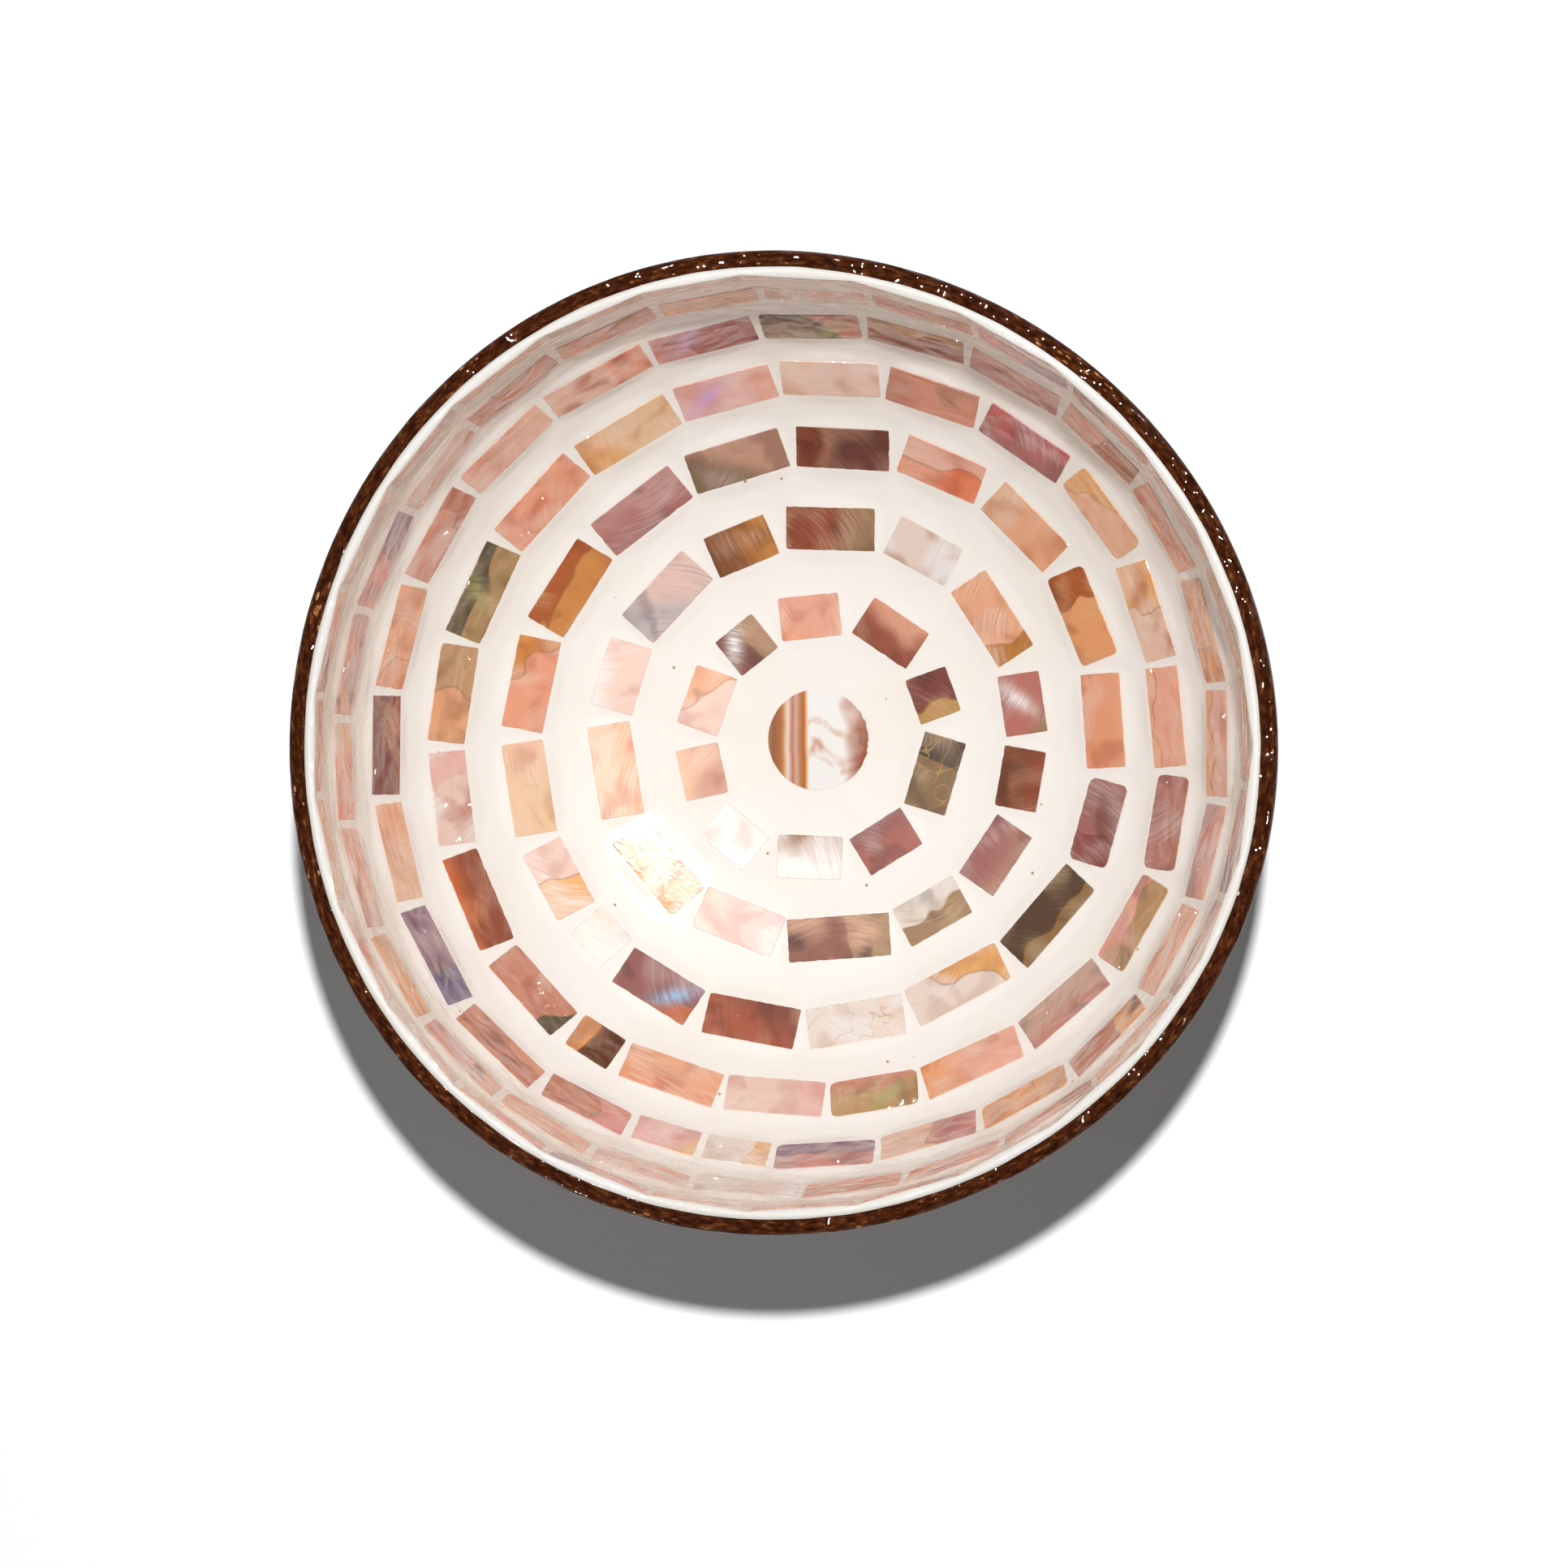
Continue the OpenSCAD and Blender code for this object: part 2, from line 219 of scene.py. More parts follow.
tree.links.new(dent.outputs[0], shader.inputs["Coat Normal"])

# The cut edge of the shell, sanded and lacquered: near-black brown with copper and tan flecks, where
# the fibres are cut across, under thick uneven lacquer that breaks the gloss into sparks.
cut_edge, tree, shader = finish_of("lacquered_cut_shell_edge", {
    "Roughness": 0.6, "Specular IOR Level": 0.0, "Coat Weight": 0.7, "Coat Roughness": 0.03})
place = add(tree, "TexCoord").outputs["Object"]
along = add(tree, "Attribute", {"attribute_name": "round"}).outputs["Vector"]
bands = add(tree, "TexNoise", {"Scale": 1.0, "Detail": 4.0, "Roughness": 0.65}, {"Vector": along})
fleck_bend = add(tree, "Mix", {"data_type": "VECTOR", 0: 0.8}, {4: bands.outputs[1], 5: along})
flecks = add(tree, "TexVoronoi", {"Scale": 0.9, "Randomness": 1.0}, {"Vector": fleck_bend.outputs[1]})
dots = add(tree, "TexVoronoi", {"Scale": 900.0}, {"Vector": place})
wide = add(tree, "TexNoise", {"Scale": 70.0, "Detail": 2.0}, {"Vector": place})
ground = add(tree, "ValToRGB", {"stops": [(0.3, "#241008"), (0.48, "#432010"), (0.6, "#5E321B"),
                                          (0.74, "#96633A")]}, {0: bands})
fleck_size = add(tree, "MapRange", {1: 0.48, 2: 0.72, 3: 0.0, 4: 0.3}, {0: wide})
fleck_mask = add(tree, "Math", {"operation": "LESS_THAN"}, {0: flecks.outputs["Distance"], 1: fleck_size})
fleck_colour = add(tree, "ValToRGB", {"stops": [(0.2, "#7C431F"), (0.5, "#A8683A"), (0.8, "#D9A878")]},
                   {0: dots.outputs["Distance"]})
edge_mix = add(tree, "Mix", {"data_type": "RGBA"}, {0: fleck_mask, 6: ground, 7: fleck_colour})
tree.links.new(edge_mix.outputs[2], shader.inputs["Base Color"])
rough = add(tree, "TexNoise", {"Scale": 420.0, "Detail": 0.0}, {"Vector": place})
dent = add(tree, "Bump", {"Strength": 1.0, "Distance": 0.0008}, {"Height": rough})
tree.links.new(dent.outputs[0], shader.inputs["Coat Normal"])

# The fibres run up the nut, 1.2 mm apart with finer ones between; on the cut edge the marks are 1.6 mm
# long and lie along the edge
FIBRES_ROUND = 55
MARKS_ROUND = 42
spots = np.array([v.co for v in shell.data.vertices]) / MM
reach = np.hypot(spots[:, 0], spots[:, 1]).clip(1)
turned = spots[:, :2] / reach[:, None]
up_nut = spots[:, 2] * 0.06 + reach * 0.03
over_edge = (reach - spots[:, 2] * 0.6) * 1.9
store(shell.data, "fibre", "FLOAT_VECTOR", np.column_stack([turned * FIBRES_ROUND, up_nut]))
store(shell.data, "round", "FLOAT_VECTOR", np.column_stack([turned * MARKS_ROUND, over_edge]))
shell.data.materials.append(polished)
shell.data.materials.append(cut_edge)
edge_value = np.zeros(len(shell.data.vertices), dtype=np.float32)
shell.data.attributes["edge"].data.foreach_get("value", edge_value)
for face in shell.data.polygons:
    face.material_index = 1 if min(edge_value[i] for i in face.vertices) > ON_CUT_EDGE else 0
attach(shell, "root")
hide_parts("coconut_shell")

# IVORY FILLER LINING
# White filler, tinted ivory, is brushed into the shell as a bed, the tiles are pressed into it, and more
# filler closes the joints. It is sanded flush, so it meets the edge of each flat tile and dips a little
# between them, and gloss lacquer covers the whole inside.
LINING_RADIUS = 64.1 * MM
LINING_DEEP = 49 * MM
BELOW_TILE = 0.07 * MM
FAIRING = 2.2 * MM
TILE_REACH = 14 * MM
UNDER_TILE = 0.7 * MM
POCKET_DEEP = 0.4 * MM
FLUSH = 0.1 * MM
SAME_POINT = 2e-3 * MM
SQUARE = 0.02
LIP_RINGS = ((64.16, 0.12), (64.28, 0.03), (64.5, 0.0))


def laid_tiles(name):
    """Centre of the top face, directions along the row, up the wall and out, and sizes of each solid."""
    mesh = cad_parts[name].data
    points = np.array([v.co for v in mesh.vertices])
    keys = [tuple(p) for p in np.round(points / SAME_POINT).astype(int)]
    # Corners that share a face belong to one solid
    owner = {k: k for k in keys}

    def root_of(k):
        while owner[k] != k:
            k = owner[k]
        return k

    for face in mesh.polygons:
        first = root_of(keys[face.vertices[0]])
        for i in face.vertices[1:]:
            owner[root_of(keys[i])] = first
    groups = {}
    for k, p in zip(keys, points):
        groups.setdefault(root_of(k), {})[k] = p
    tiles = []
    for corners in groups.values():
        corners = np.array(list(corners.values()))
        centre = corners.mean(axis=0)
        # The three shortest spans from one corner that are square to each other are the solid's edges
        spans = corners - corners[0]
        order = np.argsort(np.linalg.norm(spans, axis=1))
        edges = [spans[order[1]]]
        for i in order[2:]:
            v = spans[i]
            if all(abs(v @ e) < SQUARE * np.linalg.norm(v) * np.linalg.norm(e) for e in edges):
                edges.append(v)
            if len(edges) == 3:
                break
        sideways = np.array([-centre[1], centre[0], 0])
        sideways /= np.linalg.norm(sideways)
        rest = sorted(edges[1:], key=lambda e: -abs(e @ sideways) / np.linalg.norm(e))
        long, wide, deep = (np.linalg.norm(e) for e in (rest[0], rest[1], edges[0]))
        out = edges[0] / deep
        if out @ (np.array([0, 0, BOWL_HIGH]) - centre) < 0:
            out = -out
        along = rest[0] / long * np.sign(rest[0] @ sideways)
        up = np.cross(out, along)
        tiles.append({"centre": centre + out * deep / 2, "along": along, "up": up, "out": out,
                      "long": long, "wide": wide, "deep": deep,
                      "angle": math.atan2(centre[1], centre[0])})
    return tiles


tile_nodes = sorted(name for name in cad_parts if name.startswith("row_"))
laid = {name: laid_tiles(name) for name in tile_nodes}

# The wall's section, measured along itself from the pole to the rim
t_fine = np.linspace(0, math.pi / 2, 4001)
r_fine, z_fine = meridian(LINING_RADIUS, LINING_DEEP, LINING_FULLNESS, t_fine)
s_fine = np.concatenate([[0], np.cumsum(np.hypot(np.diff(r_fine), np.diff(z_fine)))])
WALL_LONG = s_fine[-1]
up_wall = np.concatenate([np.linspace(0.4 * MM, WALL_LONG - 0.5 * MM, 210),
                          WALL_LONG - np.array([0.34, 0.2]) * MM])
wall = np.stack([level_ring(np.interp(s, s_fine, r_fine), np.interp(s, s_fine, z_fine)) for s in up_wall])
# The normals are turned to point into the bowl
normals = np.cross(np.roll(wall, -1, axis=1) - np.roll(wall, 1, axis=1), np.gradient(wall, axis=0))
normals *= -1 / np.linalg.norm(normals, axis=2, keepdims=True)
if normals[100, 0] @ (np.array([0, 0, BOWL_HIGH]) - wall[100, 0]) < 0:
    normals *= -1

# The bed is faired to the tiles: flush with their edges, falling away between them, and under them
lift = np.full(wall.shape[:2], -1.0)
under = np.zeros(wall.shape[:2], dtype=bool)
sink = np.zeros(wall.shape[:2])
for tile in (t for tiles in laid.values() for t in tiles):
    offset = wall - tile["centre"]
    near = np.linalg.norm(offset, axis=2) < TILE_REACH
    q = offset[near]
    x, y, h = q @ tile["along"], q @ tile["up"], q @ tile["out"]
    gap_x, gap_y = np.abs(x) - tile["long"] / 2, np.abs(y) - tile["wide"] / 2
    outside = np.hypot(gap_x.clip(0), gap_y.clip(0))
    gap = outside + np.minimum(np.maximum(gap_x, gap_y), 0)
    weight = np.cos(np.clip((gap - FLUSH) / FAIRING, 0, 1) * math.pi / 2) ** 2
    here = lift[near]
    lift[near] = np.where(gap < FAIRING, np.maximum(here, (-h - BELOW_TILE) * weight), here)
    hidden = gap < -UNDER_TILE
    spot = under[near]
    spot[hidden] = True
    under[near] = spot
    low = sink[near]
    low[hidden] = -h[hidden] - POCKET_DEEP
    sink[near] = low
lift = np.where(lift < -0.5, 0, lift)
ripple_round = wear(angles, 11, (3, 5, 8, 13), 0.05 * MM)
ripple = ripple_round[None, :] * np.sin(np.linspace(0, 9, len(up_wall)))[:, None]
lift = np.where(under, sink, lift + ripple)
wall = wall + normals * lift[:, :, None]

lining_rings = [wall[i] for i in range(len(up_wall))]
lip_wear = wear(angles, 12, (7, 15, 29, 44), 0.08 * MM)
for r, drop in LIP_RINGS:
    lining_rings.append(level_ring(r * MM + lip_wear, BOWL_HIGH - drop * MM))
lining_rings.append(level_ring(JOINT_RADIUS + joint_wear, BOWL_HIGH - 0.02 * MM))
for t in np.linspace(math.pi / 2, 0, 40)[1:-1]:
    r, z = meridian(JOINT_RADIUS, JOINT_DEEP, LINING_FULLNESS, t)
    lining_rings.append(level_ring(r, z))

lining = ring_skin("ivory_filler_bed", lining_rings, (0, 0, BOWL_HIGH - LINING_DEEP),
                   (0, 0, BOWL_HIGH - JOINT_DEEP))
up_share = [0] + [s / MM for s in up_wall for _ in range(AROUND)]
up_share += [WALL_LONG / MM + 1] * (len(lining.data.vertices) - len(up_share))
store(lining.data, "up_wall", "FLOAT", up_share)

# Ivory two-part filler under clear gloss lacquer: smooth and nearly white on the floor, with fine brush
# lines round the bowl and a tan stain up the wall, and a few specks of dust and shell.
filler, tree, shader = finish_of("lacquered_ivory_filler", {
    "Roughness": 0.5, "IOR": 1.5, "Coat Weight": 1.0, "Coat Roughness": 0.08})
place = add(tree, "TexCoord").outputs["Object"]
high = add(tree, "Attribute", {"attribute_name": "up_wall"}).outputs["Fac"]
flat = add(tree, "SeparateXYZ", {}, {0: place})
drawn = add(tree, "CombineXYZ", {}, {0: flat, 1: flat.outputs[1]})
slow = add(tree, "VectorMath", {"operation": "SCALE", "Scale": 60.0}, {0: drawn})
fine_up = add(tree, "Math", {"operation": "MULTIPLY", 1: 2.6}, {0: high})
lines_at = add(tree, "CombineXYZ", {}, {2: fine_up})
brushed = add(tree, "VectorMath", {"operation": "ADD"}, {0: slow, 1: lines_at})
lines = add(tree, "TexNoise", {"Scale": 1.0, "Detail": 3.0, "Roughness": 0.6}, {"Vector": brushed})
patches = add(tree, "TexNoise", {"Scale": 45.0, "Detail": 3.0}, {"Vector": place})
climb = add(tree, "MapRange", {"interpolation_type": "SMOOTHSTEP", 1: 66.0, 2: 86.0}, {0: high})
below_rim = add(tree, "MapRange", {1: WALL_LONG / MM - 1.6, 2: WALL_LONG / MM - 0.4, 3: 1.0, 4: 0.0},
                {0: high})
on_wall = add(tree, "Math", {"operation": "MULTIPLY"}, {0: climb, 1: below_rim})
stain = add(tree, "MapRange", {1: 0.5, 2: 0.74, 4: 0.62}, {0: lines})
stained = add(tree, "Math", {"operation": "MULTIPLY"}, {0: stain, 1: on_wall})
ivory = add(tree, "ValToRGB", {"stops": [(0.3, "#FCF7EE"), (0.6, "#FFFCF6")]}, {0: patches})
wall_tone = add(tree, "Mix", {"data_type": "RGBA", 7: "#FFF6EA"}, {0: on_wall, 6: ivory})
stain_tone = add(tree, "Mix", {"data_type": "RGBA", 7: "#D2A88A"},
                 {0: stained, 6: wall_tone.outputs[2]})
dust = add(tree, "TexVoronoi", {"Scale": 160.0}, {"Vector": place})
dust_size = add(tree, "Math", {"operation": "LESS_THAN", 1: 0.035}, {0: dust.outputs["Distance"]})
specked = add(tree, "Mix", {"data_type": "RGBA", 7: "#B98E68"},
              {0: dust_size, 6: stain_tone.outputs[2]})
tree.links.new(specked.outputs[2], shader.inputs["Base Color"])
lacquer = add(tree, "TexNoise", {"Scale": 260.0, "Detail": 2.0}, {"Vector": place})
wavy = add(tree, "MapRange", {1: 50.0, 2: 80.0, 3: 0.05, 4: 1.0}, {0: high})
line_height = add(tree, "Math", {"operation": "MULTIPLY"}, {0: lines, 1: wavy})
wave_height = add(tree, "Math", {"operation": "MULTIPLY"}, {0: lacquer, 1: wavy})
rough_height = add(tree, "Math", {"operation": "ADD"}, {0: line_height, 1: wave_height})
run_at = add(tree, "VectorMath", {"operation": "MULTIPLY", 1: (170.0, 170.0, 360.0)}, {0: place})
runs = add(tree, "TexNoise", {"Scale": 1.0, "Detail": 1.0, "Distortion": 0.9}, {"Vector": run_at})
run_on = add(tree, "MapRange", {1: 58.0, 2: 80.0, 3: 0.0, 4: 9.0}, {0: high})
run_height = add(tree, "Math", {"operation": "MULTIPLY"}, {0: runs, 1: run_on})
all_height = add(tree, "Math", {"operation": "ADD"}, {0: rough_height, 1: run_height})
dent = add(tree, "Bump", {"Strength": 0.45, "Distance": 0.0004}, {"Height": all_height})
tree.links.new(dent.outputs[0], shader.inputs["Coat Normal"])
lining.data.materials.append(filler)
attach(lining, "root")
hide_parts("grout_lining")

# MOTHER-OF-PEARL TILES
# Strips of river and sea shell, ground flat to 0.7 mm and snapped or sawn to about 14 by 6.5 mm. Each is
# set in its pocket of the filler. Their edges are slightly chipped, and some have corners rubbed round.
TONES = {
    "white": "#FDF9F4", "cream": "#FAF1E2", "cream_pink": "#FBEDE2", "pearl": "#F5E2D4",
    "silver": "#EFE4DA", "pale_pink": "#F7D6C6", "light_pink": "#F4C2B9", "pink": "#EDB4A0",
    "rose": "#DE9A88", "peach_light": "#F9CCAA", "peach_pale": "#FAD2B6", "peach_yellow": "#FAD3A8",
    "peach": "#F8B890", "peach_dull": "#F3BFA4", "salmon": "#F2A680", "salmon_pink": "#ECAB90",
    "salmon_dull": "#E39C7C", "coral": "#E3845E", "coral_dull": "#CC7A62", "orange": "#E09450",
    "orange_pale": "#EFA672", "amber": "#CB8640", "amber_pale": "#E6AC6C", "dark_amber": "#8A5024",
    "tan": "#CA9268", "tan_pink": "#D4A486", "rose_tan": "#D6A08A", "rose_brown": "#AC7460",
    "gold": "#C0944E", "bronze": "#A88560", "bronze_pink": "#8D5240", "rust": "#AE5C2E",
    "amber_brown": "#CE8848", "red_brown": "#9A4C30", "brown": "#7F4330", "brown_soft": "#9A6049",
    "brown_pink": "#BA7C66", "cocoa": "#854829", "dark_brown": "#522A14", "maroon": "#7A3427",
    "mauve_red": "#AC6253", "mauve_pink": "#C67A6C", "mauve": "#AC6F68", "mauve_brown": "#A26C62",
    "pale_mauve": "#E8C6B8", "grey_mauve": "#C0937C", "grey_blue": "#C6BABA", "grey_brown": "#A88C7E",
    "purple": "#92544E", "purple_red": "#A4524F", "purple_pink": "#C09088", "plum": "#864C46",
    "dark_plum": "#673B33", "grey_plum": "#715464", "violet_dull": "#4E4562", "olive": "#8A6C48",
    "olive_brown": "#80694C", "olive_tan": "#A17D54", "dark_olive": "#564030", "green": "#96784F",
    "dark_green": "#4C4230"}
# Tints of the painted highlights: patches of coloured pearly sheen, and plain white
PAINTED_FLASHES = {"violet": "#E0B4EC", "blue": "#9CC3E6", "green": "#B2B070", "rosy": "#E8A8A4",
           "glint": "#FFFCF6"}

# What each tile looks like, anticlockwise seen from above: its tone, a second tone, the direction in
# which that lies (degrees, 0 along the row, 90 up the wall), its share of the tile, and its marks.
LOOKS = {
    1: [("maroon", "gold", 180, 0.3, "streaks vein"), ("red_brown", "salmon_dull", 270, 0.3, "soft"),
        ("salmon_pink", "salmon", 60, 0.3, "soft streaks"),
        ("brown", "bronze", 180, 0.35, "vein glint"), ("pale_pink", "peach", 225, 0.4, "vein"),
        # Row 1's seventh tile lies in the lamp's glare below left of the disc; its white tone is a
        # painted highlight
        ("rose_tan", "peach_light", 270, 0.35, "soft"), ("white", "pale_pink", 90, 0.15, "soft"),
        ("bronze", "white", 250, 0.62, "soft streaks"), ("mauve_red", "purple", 90, 0.4, "soft"),
        ("olive", "dark_olive", 0, 0.4, "vein lines")],
    2: [("mauve_pink", "bronze", 215, 0.25, "glint"), ("peach", "amber", 180, 0.2, "vein streaks"),
        ("pearl", "cream_pink", 180, 0.4, "clouds soft"),
        ("red_brown", "bronze", 180, 0.35, "soft streaks"),
        ("dark_amber", "amber", 180, 0.45, "soft streaks"),
        ("pale_mauve", "grey_blue", 45, 0.5, "soft streaks"),
        ("pale_pink", "white", 300, 0.3, "soft streaks"),
        ("peach_pale", "peach", 90, 0.3, "soft streaks"), ("peach", "orange", 270, 0.2, "vein clouds"),
        ("light_pink", "pale_pink", 180, 0.3, "soft"),
        ("bronze_pink", "bronze", 0, 0.4, "streaks clouds"),
        ("bronze", "silver", 100, 0.5, "vein streaks"),
        ("mauve", "grey_mauve", 270, 0.4, "soft streaks"), ("cocoa", "red_brown", 270, 0.3, "soft")],
    3: [("salmon", "peach", 270, 0.3, "soft"), ("orange_pale", "rust", 0, 0.35, "rounded"),
        ("peach", "peach_light", 0, 0.3, "soft"), ("coral", "pink", 270, 0.4, "vein"),
        ("dark_plum", "brown", 0, 0.3, "vein"), ("grey_mauve", "olive_brown", 60, 0.45, "soft"),
        ("mauve", "purple_pink", 270, 0.4, "soft streaks"), ("amber_brown", "rust", 270, 0.5, "vein"),
        ("salmon_dull", "amber", 225, 0.3, "vein"), ("peach_yellow", "peach_light", 180, 0.3, "soft"),
        # Row 3's twelfth tile lies in the same glare; its cream and white tones are a painted highlight
        ("pale_mauve", "amber_pale", 0, 0.5, "streaks vein"), ("cream", "white", 0, 0.5, "soft"),
        ("plum", "rust", 300, 0.3, "blue vein"), ("red_brown", "brown", 60, 0.45, "soft"),
        ("cream_pink", "pearl", 0, 0.3, "lines"), ("pearl", "amber_pale", 60, 0.42, "streaks vein"),
        ("dark_olive", "olive", 270, 0.3, "vein"),
        ("mauve_brown", "purple", 180, 0.4, "streaks rounded")],
    4: [("salmon_pink", "peach", 90, 0.25, "vein"),
        ("peach_pale", "amber_pale", 0, 0.45, "vein clouds"),
        ("tan_pink", "amber_pale", 300, 0.35, "vein rounded"),
        ("purple_red", "plum", 90, 0.4, "soft streaks"), ("brown_pink", "rose_brown", 0, 0.3, "soft"),
        ("pale_pink", "peach_pale", 0, 0.3, "soft"), ("light_pink", "pink", 180, 0.3, "violet"),
        ("peach_yellow", "amber_pale", 45, 0.35, "soft"),
        ("salmon_dull", "salmon_pink", 0, 0.3, "soft"), ("green", "dark_green", 270, 0.5, "vein green"),
        ("bronze", "tan", 0, 0.5, "vein"), ("pale_pink", "light_pink", 200, 0.4, "streaks clouds"),
        ("brown", "rust", 270, 0.35, "soft"), ("rose_brown", "dark_green", 335, 0.25, "vein"),
        ("dark_brown", "amber", 180, 0.3, "vein"), ("peach", "salmon", 270, 0.3, "streaks"),
        ("pale_pink", "light_pink", 0, 0.3, "soft"),
        ("olive_tan", "rose_brown", 90, 0.3, "green rounded"),
        ("rose_tan", "orange_pale", 180, 0.35, "soft"), ("grey_brown", "mauve_brown", 270, 0.3, "soft"),
        ("olive_tan", "rose", 90, 0.4, "rosy rounded"),
        ("mauve_brown", "brown_soft", 270, 0.3, "streaks rounded")],
    5: [("rose_tan", "tan", 90, 0.3, "vein"), ("tan_pink", "orange_pale", 180, 0.3, "vein"),
        ("salmon_dull", "rose_tan", 270, 0.3, "soft"), ("brown_soft", "rose_tan", 0, 0.5, "vein"),
        ("mauve_brown", "rose_tan", 270, 0.3, "soft"), ("brown", "bronze", 270, 0.3, "streaks"),
        ("dark_olive", "rose_brown", 215, 0.45, "green rounded"), ("plum", "mauve", 0, 0.4, "violet"),
        ("peach_dull", "salmon_dull", 180, 0.4, "clouds"),
        ("peach_dull", "salmon_dull", 0, 0.3, "soft"), ("rose_brown", "brown_soft", 180, 0.3, "vein"),
        ("peach", "salmon", 45, 0.3, "vein"), ("dark_plum", "brown", 90, 0.3, "vein"),
        ("peach_light", "peach", 180, 0.4, "soft"), ("grey_plum", "violet_dull", 0, 0.35, "vein"),
        ("brown_soft", "rose_brown", 90, 0.45, "vein"), ("brown_soft", "mauve", 0, 0.4, "vein"),
        ("light_pink", "amber_pale", 315, 0.25, "soft"),
        ("cream_pink", "amber_pale", 0, 0.25, "streaks"),
        ("mauve_brown", "grey_plum", 90, 0.4, "rounded"), ("peach_light", "mauve", 0, 0.45, "vein"),
        ("orange_pale", "peach", 0, 0.3, "vein rounded"), ("brown_soft", "tan", 0, 0.4, "vein clouds"),
        ("peach_dull", "salmon_dull", 270, 0.25, "vein"), ("mauve_brown", "rose_tan", 270, 0.4, "soft")]}
# Under the rim the tiles are cut from the same few plates, so each kind has at most three looks
PLAIN_LOOKS = {
    "pearl": [("cream_pink", "pale_pink", 0, 0.4, "soft clouds"),
              ("pearl", "pale_mauve", 90, 0.4, "soft")],
    "pink": [("rose_tan", "pale_pink", 0, 0.4, "soft clouds"),
             ("pale_pink", "rose_tan", 90, 0.3, "vein")],
    "salmon": [("salmon_dull", "peach_dull", 0, 0.4, "vein"),
               ("peach_dull", "orange_pale", 90, 0.4, "soft"),
               ("coral_dull", "peach", 180, 0.3, "clouds soft")],
    "amber": [("tan", "amber_brown", 0, 0.35, "vein")],
    "brown": [("brown_soft", "rose_brown", 90, 0.4, "soft"),
              ("brown_pink", "brown", 0, 0.4, "vein streaks")],
    "mauve": [("mauve_brown", "grey_mauve", 0, 0.4, "clouds soft"),
              ("mauve", "grey_plum", 180, 0.4, "vein")],
    "green": [("olive_tan", "olive", 0, 0.4, "vein")]}


# What is kept at each point of a tile, for its material to read
KEPT = {"growth": "FLOAT_VECTOR"}
KEPT.update({key: "FLOAT_COLOR" for key in ("body_tone", "second_tone", "flash_tone")})
KEPT.update({key: "FLOAT" for key in ("split", "soft", "vein", "streak", "cloud", "gold", "flash",
                                      "haze", "run")})
GRID = 0.75 * MM
EASE = 0.13 * MM
CHIP_WAVES = (1.3, 2.9, 4.7, 7.1)
CHIP_ENDS, CHIP_SIDES = 0.006, 0.012
USUAL_WIDTH = 6.5 * MM
# How far in mm to each side of their growth line two tones blend, how strong silk lines and clouds are
# where no mark asks for them, and the lightest that a tone is written
MISTY, CRISP = 2.2, 0.12
FAINT_SILK, FAINT_CLOUDS = 0.45, 0.5
PALEST = 0.93


